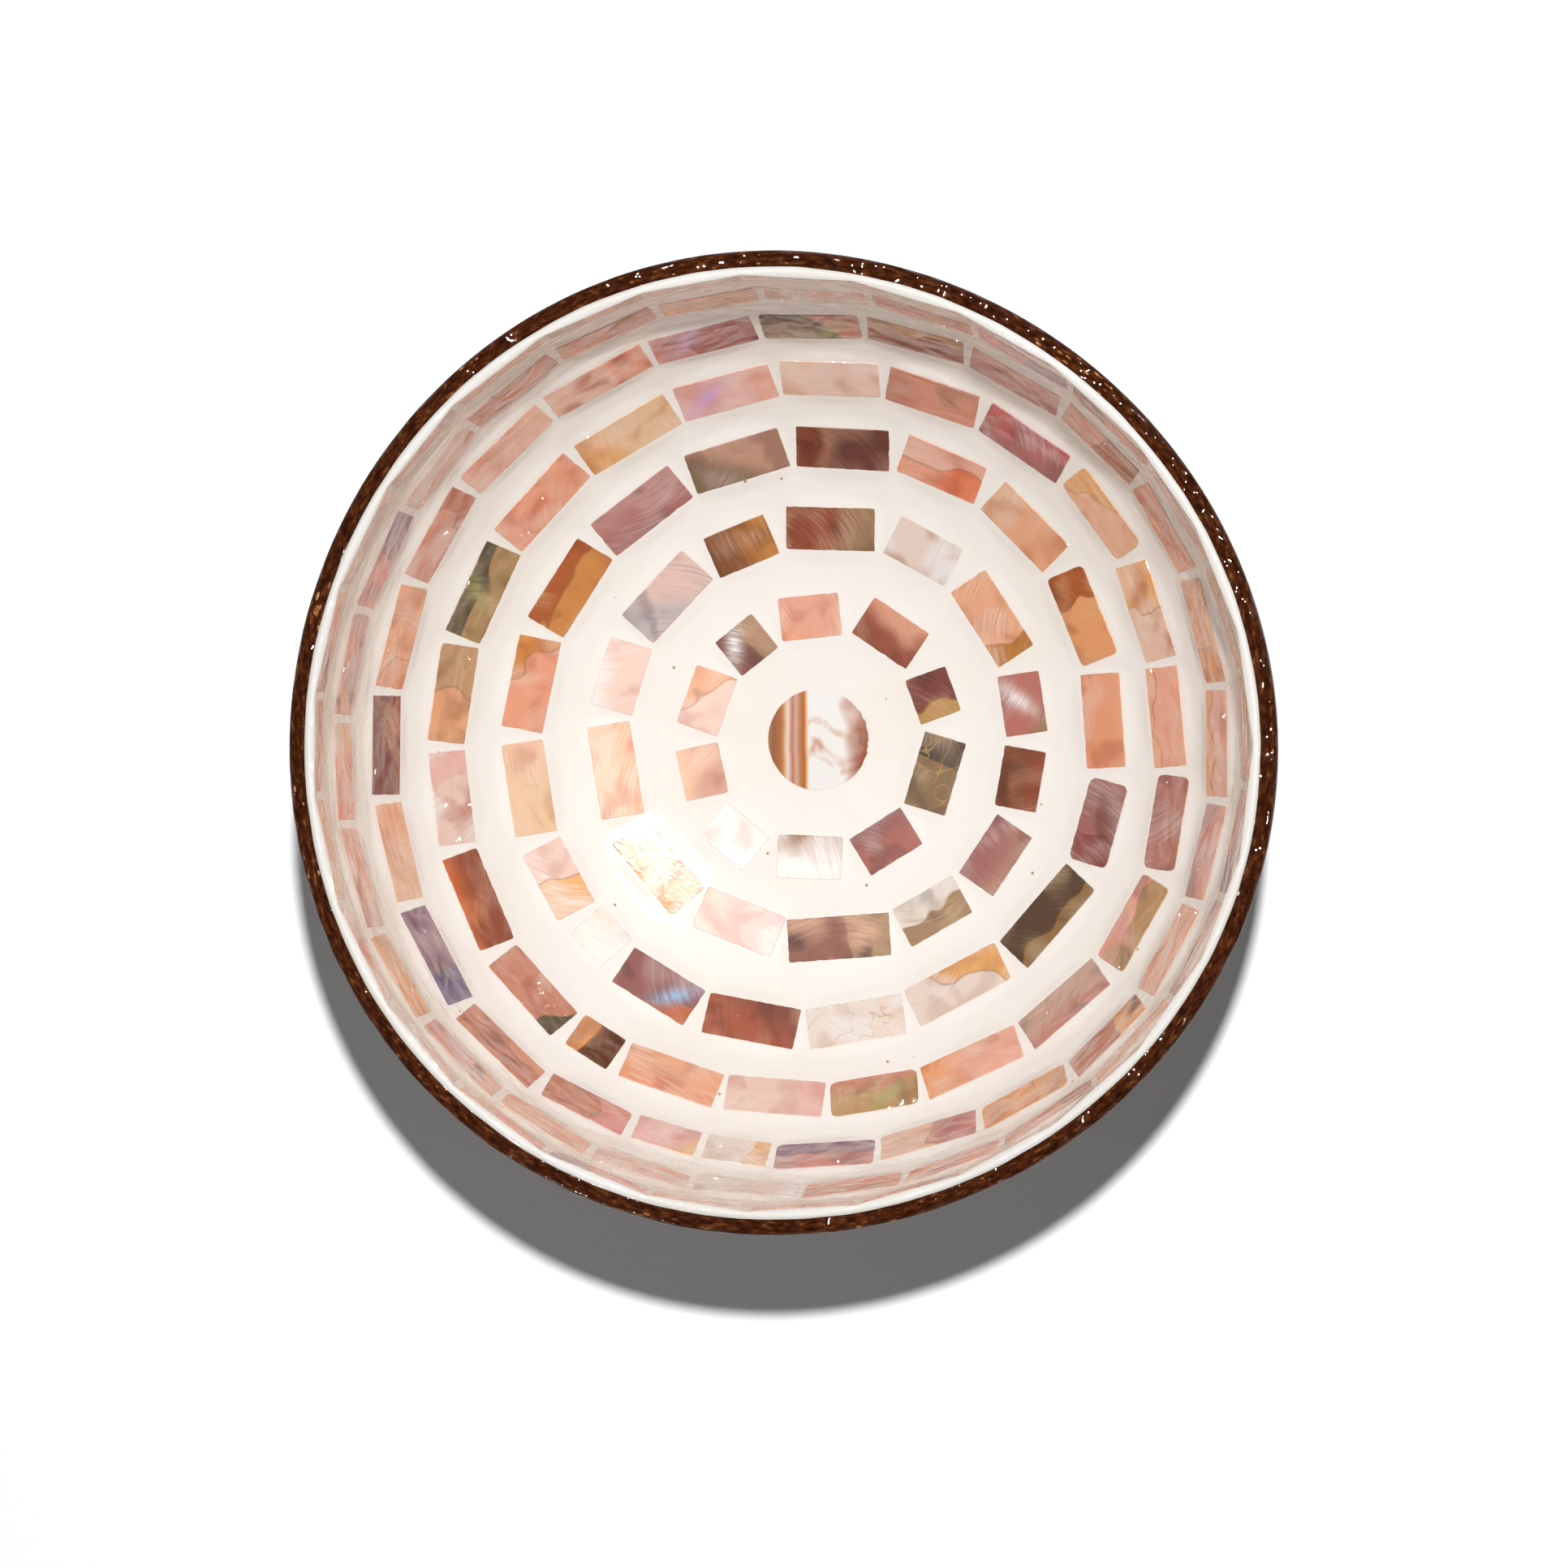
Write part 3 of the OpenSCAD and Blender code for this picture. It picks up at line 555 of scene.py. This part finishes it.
def cut_tile(tile, look, paler, haze, run, pick, parts):
    """Adds one flat tile to the lists of its row's mesh, with its marks kept at each point."""
    body, second, bearing, share, marks = look
    long, wide, deep = tile["long"], tile["wide"], tile["deep"]
    nx, ny = max(6, round(long / GRID)), max(5, round(wide / GRID))
    rounding = pick.uniform(0.6, 1.1) * MM if "rounded" in marks else pick.uniform(0.05, 0.3) * MM
    chips = [pick.uniform(0, 6.28) for _ in range(8)]

    def trimmed(x, y):
        """Pulls the outline in at the corners and at small chips along the sawn edges."""
        ax, ay = long / 2 - rounding, wide / 2 - rounding
        cx, cy = abs(x) - ax, abs(y) - ay
        if cx > 0 and cy > 0 and math.hypot(cx, cy) > rounding:
            k = rounding / math.hypot(cx, cy)
            x, y = math.copysign(ax + cx * k, x), math.copysign(ay + cy * k, y)
        chip = sum(math.sin(x / MM * f + c) * math.sin(y / MM * f + c) for f, c in zip(CHIP_WAVES, chips))
        bite = 1 - CHIP_SIDES * abs(chip) * (USUAL_WIDTH / wide)
        return x * (1 - CHIP_ENDS * abs(chip)), y * bite

    # A flat grid, two rings down its eased and sawn sides, and a flat back
    local, start = [], len(parts["points"])
    xs = [-long / 2 + EASE] + [long * (i / nx - 0.5) for i in range(1, nx)] + [long / 2 - EASE]
    ys = [-wide / 2 + EASE] + [wide * (j / ny - 0.5) for j in range(1, ny)] + [wide / 2 - EASE]
    for y in ys:
        for x in xs:
            tx, ty = trimmed(x * long / (long - 2 * EASE), y * wide / (wide - 2 * EASE))
            local.append((tx * (long - 2 * EASE) / long, ty * (wide - 2 * EASE) / wide, 0))
    row = nx + 1
    for j in range(ny):
        for i in range(nx):
            a = start + j * row + i
            parts["faces"].append((a, a + 1, a + row + 1, a + row))
    loop = list(range(row)) + [j * row + nx for j in range(1, ny + 1)]
    loop += [ny * row + i for i in range(nx - 1, -1, -1)] + [j * row for j in range(ny - 1, 0, -1)]
    rings = [[start + i for i in loop]]
    for z in (-EASE * 0.9, -deep + 0.01 * MM):
        ring = []
        for i in loop:
            x, y, _ = local[i]
            ring.append(start + len(local))
            local.append((x * long / (long - 2 * EASE), y * wide / (wide - 2 * EASE), z))
        rings.append(ring)
    count = len(loop)
    for upper, lower in zip(rings, rings[1:]):
        for i in range(count):
            parts["faces"].append((upper[i], lower[i], lower[(i + 1) % count], upper[(i + 1) % count]))
    parts["faces"].append(tuple(reversed(rings[-1])))

    local = np.array(local)
    parts["points"].extend((tile["centre"] + local[:, :1] * tile["along"] + local[:, 1:2] * tile["up"]
                            + local[:, 2:] * tile["out"]).tolist())
    turn = math.radians(bearing)
    toward = np.array([math.cos(turn), math.sin(turn)])
    extent = abs(toward[0]) * long / 2 + abs(toward[1]) * wide / 2
    split = (local[:, :2] @ toward - extent * (1 - 2 * share)) / MM
    # The growth lines are arcs about a point off the tile: u runs along them and v across them, in mm
    lines = math.radians(pick.uniform(0, 360))
    bend = pick.uniform(10, 24) * MM
    from_x, from_y = local[:, 0] - bend * math.cos(lines), local[:, 1] - bend * math.sin(lines)
    v = np.hypot(from_x, from_y) / MM
    u = (np.arctan2(from_y, from_x) - lines) % (2 * math.pi) * bend / MM
    parts["growth"].extend(np.column_stack([u + pick.uniform(0, 400), v + pick.uniform(0, 400),
                                            np.full(len(u), pick.uniform(0, 90))]).tolist())
    # Where its marks name one, the tile gets a painted highlight: a soft patch of coloured sheen or of
    # white
    flash = next((f for f in PAINTED_FLASHES if f in marks.split()), None)
    fx, fy = pick.uniform(-0.25, 0.25) * long, pick.uniform(-0.2, 0.2) * wide
    lean = pick.uniform(0.5, 1.2)
    px, py = local[:, 0] - fx, local[:, 1] - fy
    across = (px * math.cos(lean) - py * math.sin(lean)) / (1.1 * MM)
    down = (px * math.sin(lean) + py * math.cos(lean)) / (3.2 * MM)
    glow = np.exp(-across ** 2 - down ** 2) if flash else np.zeros(len(u))
    parts["split"].extend(split.tolist())
    parts["flash"].extend(glow.tolist())
    same_all_over = {
        "soft": MISTY if "soft" in marks else CRISP, "vein": 1.0 if "vein" in marks else 0.0,
        "streak": 1.0 if "streaks" in marks else FAINT_SILK,
        "cloud": 1.0 if "clouds" in marks else FAINT_CLOUDS, "gold": 1.0 if "lines" in marks else 0.0,
        "haze": haze, "run": run, "flash_tone": sheet_colour(PAINTED_FLASHES[flash or "glint"])}
    paler *= pick.uniform(0.95, 1.05)
    for key, tone in (("body_tone", body), ("second_tone", second)):
        colour = sheet_colour(TONES[tone])[:3]
        gain = min(paler, PALEST / max(colour))
        same_all_over[key] = [c * gain for c in colour] + [1]
    for key, value in same_all_over.items():
        parts[key].extend([value] * len(local))


def nacre(name, dark, pale):
    """Lacquered mother-of-pearl: two tones that meet at a growth line, misty clouds, silky growth lines
    in a darker and a paler tone, gold lines, a painted highlight that is coloured or white, and a haze of
    filler under the rim."""
    # Pearly plates have a broad metallic lustre of their own under the clear lacquer
    material, tree, shader = finish_of(name, {
        "Roughness": 0.48, "Metallic": 0.12, "IOR": 1.55, "Coat Weight": 1.0, "Coat Roughness": 0.06})
    kept = {}
    for key, kind in KEPT.items():
        output = {"FLOAT": "Fac", "FLOAT_VECTOR": "Vector", "FLOAT_COLOR": "Color"}[kind]
        kept[key] = add(tree, "Attribute", {"attribute_name": key}).outputs[output]
    growth = kept["growth"]
    # Mist about 4 mm across under the polish, a second layer of it, and silk lines about 0.4 mm apart
    mist = add(tree, "TexNoise", {"Scale": 0.22, "Detail": 1.0, "Roughness": 0.4, "Distortion": 0.4},
               {"Vector": growth})
    other = add(tree, "VectorMath", {"operation": "ADD", 1: (70.0, 31.0, 50.0)}, {0: growth})
    glow = add(tree, "TexNoise", {"Scale": 0.2, "Detail": 0.0, "Distortion": 0.3}, {"Vector": other})
    combed = add(tree, "VectorMath", {"operation": "MULTIPLY", 1: (0.2, 3.4, 1.0)}, {0: growth})
    bent = add(tree, "VectorMath", {"operation": "ADD"}, {0: combed, 1: mist.outputs[1]})
    silk = add(tree, "TexNoise", {"Scale": 1.0, "Detail": 2.0, "Roughness": 0.6}, {"Vector": bent})
    # The second tone begins at a smooth growth line
    wobble = add(tree, "MapRange", {1: 0.3, 2: 0.7, 3: -1.1, 4: 1.1}, {0: glow})
    bound = add(tree, "Math", {"operation": "ADD"}, {0: kept["split"], 1: wobble})
    before = add(tree, "Math", {"operation": "MULTIPLY", 1: -1.0}, {0: kept["soft"]})
    over = add(tree, "MapRange", {"interpolation_type": "SMOOTHSTEP"},
               {0: bound, 1: before, 2: kept["soft"]})
    tone = add(tree, "Mix", {"data_type": "RGBA"},
               {0: over, 6: kept["body_tone"], 7: kept["second_tone"]})
    # Clouds darker than the tone, and a pearly glow paler than it: pale patches, partly the nacre's own
    # paler tone and partly painted sheen
    cloud_dark = add(tree, "MapRange",
                     {"interpolation_type": "SMOOTHSTEP", 1: 0.52, 2: 0.3, 3: 0.0, 4: 0.75}, {0: mist})
    cloud_amount = add(tree, "Math", {"operation": "MULTIPLY"}, {0: cloud_dark, 1: kept["cloud"]})
    clouded = add(tree, "Mix", {"data_type": "RGBA", "blend_type": "MULTIPLY", 7: dark},
                  {0: cloud_amount, 6: tone.outputs[2]})
    glow_part = add(tree, "MapRange",
                    {"interpolation_type": "SMOOTHSTEP", 1: 0.42, 2: 0.78, 3: 0.0, 4: 0.8}, {0: glow})
    glow_amount = add(tree, "Math", {"operation": "MULTIPLY"}, {0: glow_part, 1: kept["cloud"]})
    glowing = add(tree, "Mix", {"data_type": "RGBA", 7: pale},
                  {0: glow_amount, 6: clouded.outputs[2]})
    # Silk lines, which come and go with the mist
    where = add(tree, "MapRange", {1: 0.4, 2: 0.62, 3: 0.15, 4: 1.0}, {0: glow})
    silky = add(tree, "Math", {"operation": "MULTIPLY"}, {0: where, 1: kept["streak"]})
    silk_dark = add(tree, "MapRange", {1: 0.5, 2: 0.28, 3: 0.0, 4: 0.4}, {0: silk})
    dark_amount = add(tree, "Math", {"operation": "MULTIPLY"}, {0: silk_dark, 1: silky})
    lined_dark = add(tree, "Mix", {"data_type": "RGBA", "blend_type": "MULTIPLY", 7: dark},
                     {0: dark_amount, 6: glowing.outputs[2]})
    silk_pale = add(tree, "MapRange", {1: 0.5, 2: 0.75, 3: 0.0, 4: 0.6}, {0: silk})
    pale_amount = add(tree, "Math", {"operation": "MULTIPLY"}, {0: silk_pale, 1: silky})
    lined = add(tree, "Mix", {"data_type": "RGBA", 7: pale},
                {0: pale_amount, 6: lined_dark.outputs[2]})
    # The growth line between the tones, and thin curling gold lines on a few tiles
    nearness = add(tree, "Math", {"operation": "ABSOLUTE"}, {0: bound})
    line = add(tree, "MapRange", {1: 0.03, 2: 0.3, 3: 0.5, 4: 0.0}, {0: nearness})
    line_amount = add(tree, "Math", {"operation": "MULTIPLY"}, {0: line, 1: kept["vein"]})
    veined = add(tree, "Mix", {"data_type": "RGBA", 7: "#A9743A"},
                 {0: line_amount, 6: lined.outputs[2]})
    crest = add(tree, "TexNoise", {"Scale": 0.2, "Detail": 0.0, "Distortion": 1.4}, {"Vector": other})
    off_crest = add(tree, "Math", {"operation": "SUBTRACT", 1: 0.52}, {0: crest})
    from_crest = add(tree, "Math", {"operation": "ABSOLUTE"}, {0: off_crest})
    net_line = add(tree, "MapRange", {1: 0.0, 2: 0.012, 3: 0.7, 4: 0.0}, {0: from_crest})
    net_amount = add(tree, "Math", {"operation": "MULTIPLY"}, {0: net_line, 1: kept["gold"]})
    netted = add(tree, "Mix", {"data_type": "RGBA", 7: "#C9A45C"},
                 {0: net_amount, 6: veined.outputs[2]})
    # The painted highlight, a patch of coloured sheen or of white, broken up by the silk lines
    broken = add(tree, "MapRange", {1: 0.35, 2: 0.6, 3: 0.35, 4: 1.0}, {0: silk})
    painted_flash_amount = add(tree, "Math", {"operation": "MULTIPLY"}, {0: broken, 1: kept["flash"]})
    painted_flashed = add(tree, "Mix", {"data_type": "RGBA"},
                  {0: painted_flash_amount, 6: netted.outputs[2], 7: kept["flash_tone"]})
    # Thin filler left on the tiles under the rim
    place = add(tree, "TexCoord").outputs["Object"]
    smear_at = add(tree, "VectorMath", {"operation": "MULTIPLY", 1: (90.0, 90.0, 1500.0)}, {0: place})
    smear = add(tree, "TexNoise", {"Scale": 1.0, "Detail": 3.0}, {"Vector": smear_at})
    smear_mask = add(tree, "MapRange", {1: 0.38, 2: 0.66}, {0: smear})
    smear_amount = add(tree, "Math", {"operation": "MULTIPLY"}, {0: smear_mask, 1: kept["haze"]})
    hazed = add(tree, "Mix", {"data_type": "RGBA", 7: "#FAEDE0"},
                {0: smear_amount, 6: painted_flashed.outputs[2]})
    tree.links.new(hazed.outputs[2], shader.inputs["Base Color"])
    # Lacquer that lies in soft waves, and in long swells on the wall where it ran, so highlights curl
    waves = add(tree, "TexNoise", {"Scale": 0.8, "Detail": 1.0, "Distortion": 0.8}, {"Vector": growth})
    swell_at = add(tree, "VectorMath", {"operation": "MULTIPLY", 1: (170.0, 170.0, 300.0)}, {0: place})
    swell = add(tree, "TexNoise", {"Scale": 1.0, "Detail": 1.0, "Distortion": 0.9}, {"Vector": swell_at})
    some = add(tree, "Math", {"operation": "MULTIPLY"}, {0: swell, 1: kept["run"]})
    wave_part = add(tree, "Math", {"operation": "MULTIPLY", 1: 0.005}, {0: waves})
    relief = add(tree, "Math", {"operation": "ADD"}, {0: wave_part, 1: some})
    dent = add(tree, "Bump", {"Strength": 1.0, "Distance": 0.0026}, {"Height": relief})
    tree.links.new(dent.outputs[0], shader.inputs["Coat Normal"])
    return material


# One finish for each kind of plate, with the tone of its darker and its paler growth lines
NACRES = {
    "pearl": nacre("white_mother_of_pearl", "#D2B29C", "#FFFFFF"),
    "pink": nacre("pink_mother_of_pearl", "#D09A8C", "#FFF3EA"),
    "salmon": nacre("salmon_mother_of_pearl", "#C0714C", "#FCDCC6"),
    "amber": nacre("amber_mother_of_pearl", "#96582C", "#F0C592"),
    "brown": nacre("red_brown_mother_of_pearl", "#5E3022", "#D8A88A"),
    "mauve": nacre("mauve_mother_of_pearl", "#6A4244", "#DDC4C0"),
    "green": nacre("olive_green_mother_of_pearl", "#4A3A26", "#D8BC94")}
# For each row: the direction of its first tile in degrees, how much filler hazes it, how far its lacquer
# ran, and how much paler its tones are written, because the steep wall gets less light
FIRST_TURNS = {1: 21, 2: 10, 3: 4, 4: 4, 5: 0, 6: 2, 7: 7}
HAZE = {5: 0.1, 6: 0.3, 7: 0.6}
RUN = {3: 0.25, 4: 1.0, 5: 2.0, 6: 2.6, 7: 2.2}
PALER = {3: 1.22, 4: 1.58, 5: 1.85, 6: 2.2, 7: 2.2}
# Radians by which a row's count starts early, so that its first tile comes first
EARLY = 0.08

for row in range(1, 8):
    names = [n for n in tile_nodes if n.startswith(f"row_{row}_")]
    start = math.radians(FIRST_TURNS[row]) - EARLY
    ordered = sorted((t["angle"] - start) % (2 * math.pi) for n in names for t in laid[n])
    for name in names:
        kind = name.split("_")[2]
        parts = {key: [] for key in list(KEPT) + ["points", "faces"]}
        for tile in laid[name]:
            place_in_row = ordered.index((tile["angle"] - start) % (2 * math.pi))
            pick = random.Random(1000 * row + place_in_row)
            look = LOOKS[row][place_in_row] if row in LOOKS else pick.choice(PLAIN_LOOKS[kind])
            cut_tile(tile, look, PALER.get(row, 1), HAZE.get(row, 0), RUN.get(row, 0), pick, parts)
        mesh = bpy.data.meshes.new(name + "_cut")
        mesh.from_pydata(parts["points"], [], parts["faces"])
        mesh.update()
        for key, kind_of in KEPT.items():
            store(mesh, key, kind_of, parts[key])
        mesh.materials.append(NACRES[kind])
        piece = bpy.data.objects.new(name.replace("tiles", "set_tiles"), mesh)
        bpy.context.scene.collection.objects.link(piece)
        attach(piece, "root")
        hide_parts(name)

# CENTRE DISC
# One round of white-lipped oyster shell, drilled out with a hole saw, 15.1 mm across. One side still
# shows the brown and orange layers at the lip of the shell, and its edge is chipped.
DISC_RADIUS = 7.55 * MM
disc_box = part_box("centre_disc")
disc_top = max(disc_box[0][2], disc_box[1][2])
disc_points = [(0, 0, disc_top)]
disc_faces = []
STEPS = 96
# Each ring's distance in from the edge and below the top, in mm, and how deep the edge is chipped in mm
DISC_RINGS = ((3.6, 0), (1.6, 0), (0.16, 0), (0, 0.14), (0, 0.69))
BADLY_CHIPPED, CHIPPED = 0.22, 0.05
chip = random.Random(3)
chips = [chip.uniform(0, BADLY_CHIPPED if i < 20 or i > 88 else CHIPPED) * MM for i in range(STEPS)]
for inset, drop in DISC_RINGS:
    for i in range(STEPS):
        a = 2 * math.pi * i / STEPS
        r = DISC_RADIUS - inset * MM - chips[i]
        disc_points.append((r * math.cos(a), r * math.sin(a), disc_top - drop * MM))
for i in range(STEPS):
    j = (i + 1) % STEPS
    disc_faces.append((0, 1 + i, 1 + j))
    for k in range(4):
        a = 1 + k * STEPS
        disc_faces.append((a + i, a + STEPS + i, a + STEPS + j, a + j))
disc_faces.append(tuple(1 + 4 * STEPS + i for i in reversed(range(STEPS))))
mesh = bpy.data.meshes.new("pearl_disc")
mesh.from_pydata(disc_points, [], disc_faces)
mesh.update()
disc = bpy.data.objects.new("pearl_disc", mesh)
bpy.context.scene.collection.objects.link(disc)

# Polished oyster shell under lacquer: straight brown and orange bands on one third, then bright white
# nacre with faint rosy brown clouds, and a mauve brown blotch at the far edge.
oyster, tree, shader = finish_of("white_lipped_oyster_shell", {
    "Roughness": 0.28, "Metallic": 0.1, "IOR": 1.55, "Coat Weight": 1.0, "Coat Roughness": 0.05})
place = add(tree, "TexCoord").outputs["Object"]
axes = add(tree, "SeparateXYZ", {}, {0: place})
bend = add(tree, "TexNoise", {"Scale": 120.0, "Detail": 2.0}, {"Vector": place})
bend_x = add(tree, "MapRange", {1: 0.3, 2: 0.7, 3: -0.00015, 4: 0.00015}, {0: bend})
across = add(tree, "Math", {"operation": "ADD"}, {0: axes, 1: bend_x})
band_at = add(tree, "MapRange", {1: -0.0074, 2: -0.0014}, {0: across})
banded = add(tree, "ValToRGB", {"stops": [
    (0.0, "#B08050"), (0.12, "#A4633A"), (0.3, "#B5764A"), (0.37, "#E59A55"), (0.47, "#F6E4DC"),
    (0.58, "#C98058"), (0.68, "#DDB4A4"), (0.78, "#C98450"), (0.88, "#B96A34"), (0.93, "#F0B070"),
    (1.0, "#FFFDF8")]}, {0: band_at})
clouds = add(tree, "TexNoise", {"Scale": 230.0, "Detail": 2.0, "Roughness": 0.5, "Distortion": 0.6},
             {"Vector": place})
cloud = add(tree, "ValToRGB", {"stops": [(0.3, "#DDB49A"), (0.38, "#F3E0D4"), (0.46, "#FFFDF9"),
                                         (0.8, "#FFFFFF")]}, {0: clouds})
bend_far = add(tree, "MapRange", {1: 0.3, 2: 0.7, 3: -0.0016, 4: 0.0016}, {0: bend})
far = add(tree, "Math", {"operation": "ADD"}, {0: axes, 1: bend_far})
far_at = add(tree, "MapRange", {1: 0.0024, 2: 0.0074}, {0: far})
lip = add(tree, "ValToRGB", {"stops": [(0.3, "#FFFFFF"), (0.5, "#DDBDB0"), (0.7, "#BC9086"),
                                       (0.95, "#B0663C")]}, {0: far_at})
lipped = add(tree, "Mix", {"data_type": "RGBA", "blend_type": "MULTIPLY", 0: 1.0}, {6: cloud, 7: lip})
white_side = add(tree, "Math", {"operation": "GREATER_THAN", 1: -0.0015}, {0: across})
disc_mix = add(tree, "Mix", {"data_type": "RGBA"}, {0: white_side, 6: banded, 7: lipped.outputs[2]})
tree.links.new(disc_mix.outputs[2], shader.inputs["Base Color"])
dent = add(tree, "Bump", {"Strength": 0.15, "Distance": 0.0004}, {"Height": clouds})
tree.links.new(dent.outputs[0], shader.inputs["Coat Normal"])
mesh.materials.append(oyster)
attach(disc, "root")
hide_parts("centre_disc")

# FLOOR, LIGHT AND CAMERA
# A plain white table top, one small lamp high up on the far side and to the right, three weak ones low
# down that light the walls across from them and put glints in the lacquer, and a soft pale surround. The
# camera looks almost straight down from 0.6 m above the rim.
bpy.ops.mesh.primitive_plane_add(size=6, location=(0, 0, -0.05 * MM))
table_top = bpy.context.object
table_top.name = "table_top"
# Matt white card, which shows the bowl's shadow. The camera sees it a little lighter than it lights the
# bowl, and plain white away from the shadow.
white_card = bpy.data.materials.new("white_card")
white_card.use_nodes = True
tree = white_card.node_tree
tree.nodes.remove(tree.nodes["Principled BSDF"])
card = add(tree, "BsdfDiffuse", {"Color": "#F7F7F7"})
extra = add(tree, "BsdfDiffuse", {"Color": "#A2A2A2"})
bright = add(tree, "AddShader", {}, {0: card, 1: extra})
place = add(tree, "TexCoord").outputs["Object"]
away = add(tree, "VectorMath", {"operation": "LENGTH"}, {0: place})
fade = add(tree, "MapRange", {"interpolation_type": "SMOOTHSTEP", 1: 0.1, 2: 0.28},
           {0: away.outputs["Value"]})
backdrop = add(tree, "Emission", {"Strength": 1.0})
ground = add(tree, "MixShader", {}, {0: fade, 1: bright, 2: backdrop})
seen = add(tree, "LightPath")
shown = add(tree, "MixShader", {}, {0: seen.outputs["Is Camera Ray"], 1: card, 2: ground})
tree.links.new(shown.outputs[0], tree.nodes["Material Output"].inputs["Surface"])
table_top.data.materials.append(white_card)

# The surround is white to the camera, and lights the bowl only from low down
world = bpy.data.worlds.new("pale_surround")
bpy.context.scene.world = world
world.use_nodes = True
tree = world.node_tree
sky = tree.nodes["Background"]
seen = add(tree, "LightPath")
plain = add(tree, "Math", {"operation": "MAXIMUM"},
            {0: seen.outputs["Is Camera Ray"], 1: seen.outputs["Is Transmission Ray"]})
way = add(tree, "TexCoord").outputs["Generated"]
height = add(tree, "SeparateXYZ", {}, {0: way})
soft = add(tree, "MapRange", {"interpolation_type": "SMOOTHSTEP", 1: 0.25, 2: 0.55, 3: 0.26, 4: 0.0},
           {0: height.outputs[2]})
level = add(tree, "MapRange", {4: 1.0}, {0: plain, 3: soft})
tree.links.new(level.outputs[0], sky.inputs["Strength"])
sky.inputs["Color"].default_value = (1, 1, 1, 1)

# Each lamp's name, place and width in metres, and power in watts
LAMPS = [("high_lamp", (0.11, 0.195, 0.8), 0.03, 5.5), ("low_lamp_front", (-0.3, -0.54, 0.2), 0.03, 0.6),
         ("low_lamp_left", (-0.62, -0.02, 0.2), 0.02, 0.08),
         ("low_lamp_right", (0.36, -0.5, 0.2), 0.02, 0.1)]
for lamp_name, spot, size, power in LAMPS:
    lamp = bpy.data.lights.new(lamp_name, "AREA")
    lamp.shape = "DISK"
    lamp.size = size
    lamp.energy = power
    lamp_spot = bpy.data.objects.new(lamp_name, lamp)
    lamp_spot.location = spot
    lamp_spot.rotation_euler = (-lamp_spot.location).to_track_quat("-Z", "Y").to_euler()
    bpy.context.scene.collection.objects.link(lamp_spot)

# The image is 1932 pixels square, and the rim's centre lies a little left of and above its middle. The
# sensor is 36 mm wide, and the camera leans a little from straight above to the right and to the back.
PIXELS = 1932
RIM_AT = (952.5, 919.2)
SENSOR = 36
TILT_X = math.radians(7.81)
TILT_Y = math.radians(1.095)
PIXELS_PER_M = 9.0744 / MM
DISTANCE = 0.6
rim_centre = Vector((0, 0, BOWL_HIGH))
toward_camera = Vector((math.sin(TILT_X), math.sin(TILT_Y), 0))
toward_camera.z = math.sqrt(1 - toward_camera.x ** 2 - toward_camera.y ** 2)
right = Vector((0, 1, 0)).cross(toward_camera).normalized()
up = toward_camera.cross(right)
aim = rim_centre + right * ((PIXELS / 2 - RIM_AT[0]) / PIXELS_PER_M)
aim -= up * ((PIXELS / 2 - RIM_AT[1]) / PIXELS_PER_M)
camera = bpy.data.cameras.new("camera")
camera.sensor_width = SENSOR
camera.sensor_fit = "HORIZONTAL"
camera.lens = SENSOR * PIXELS_PER_M * DISTANCE / PIXELS
camera_spot = bpy.data.objects.new("camera", camera)
camera_spot.location = rim_centre + toward_camera * DISTANCE
back = (camera_spot.location - aim).normalized()
side = up.cross(back).normalized()
axes = Matrix((side, back.cross(side), back)).transposed().to_4x4()
camera_spot.matrix_world = Matrix.Translation(camera_spot.location) @ axes
bpy.context.scene.collection.objects.link(camera_spot)
bpy.context.scene.camera = camera_spot
bpy.context.scene.view_settings.view_transform = "Standard"
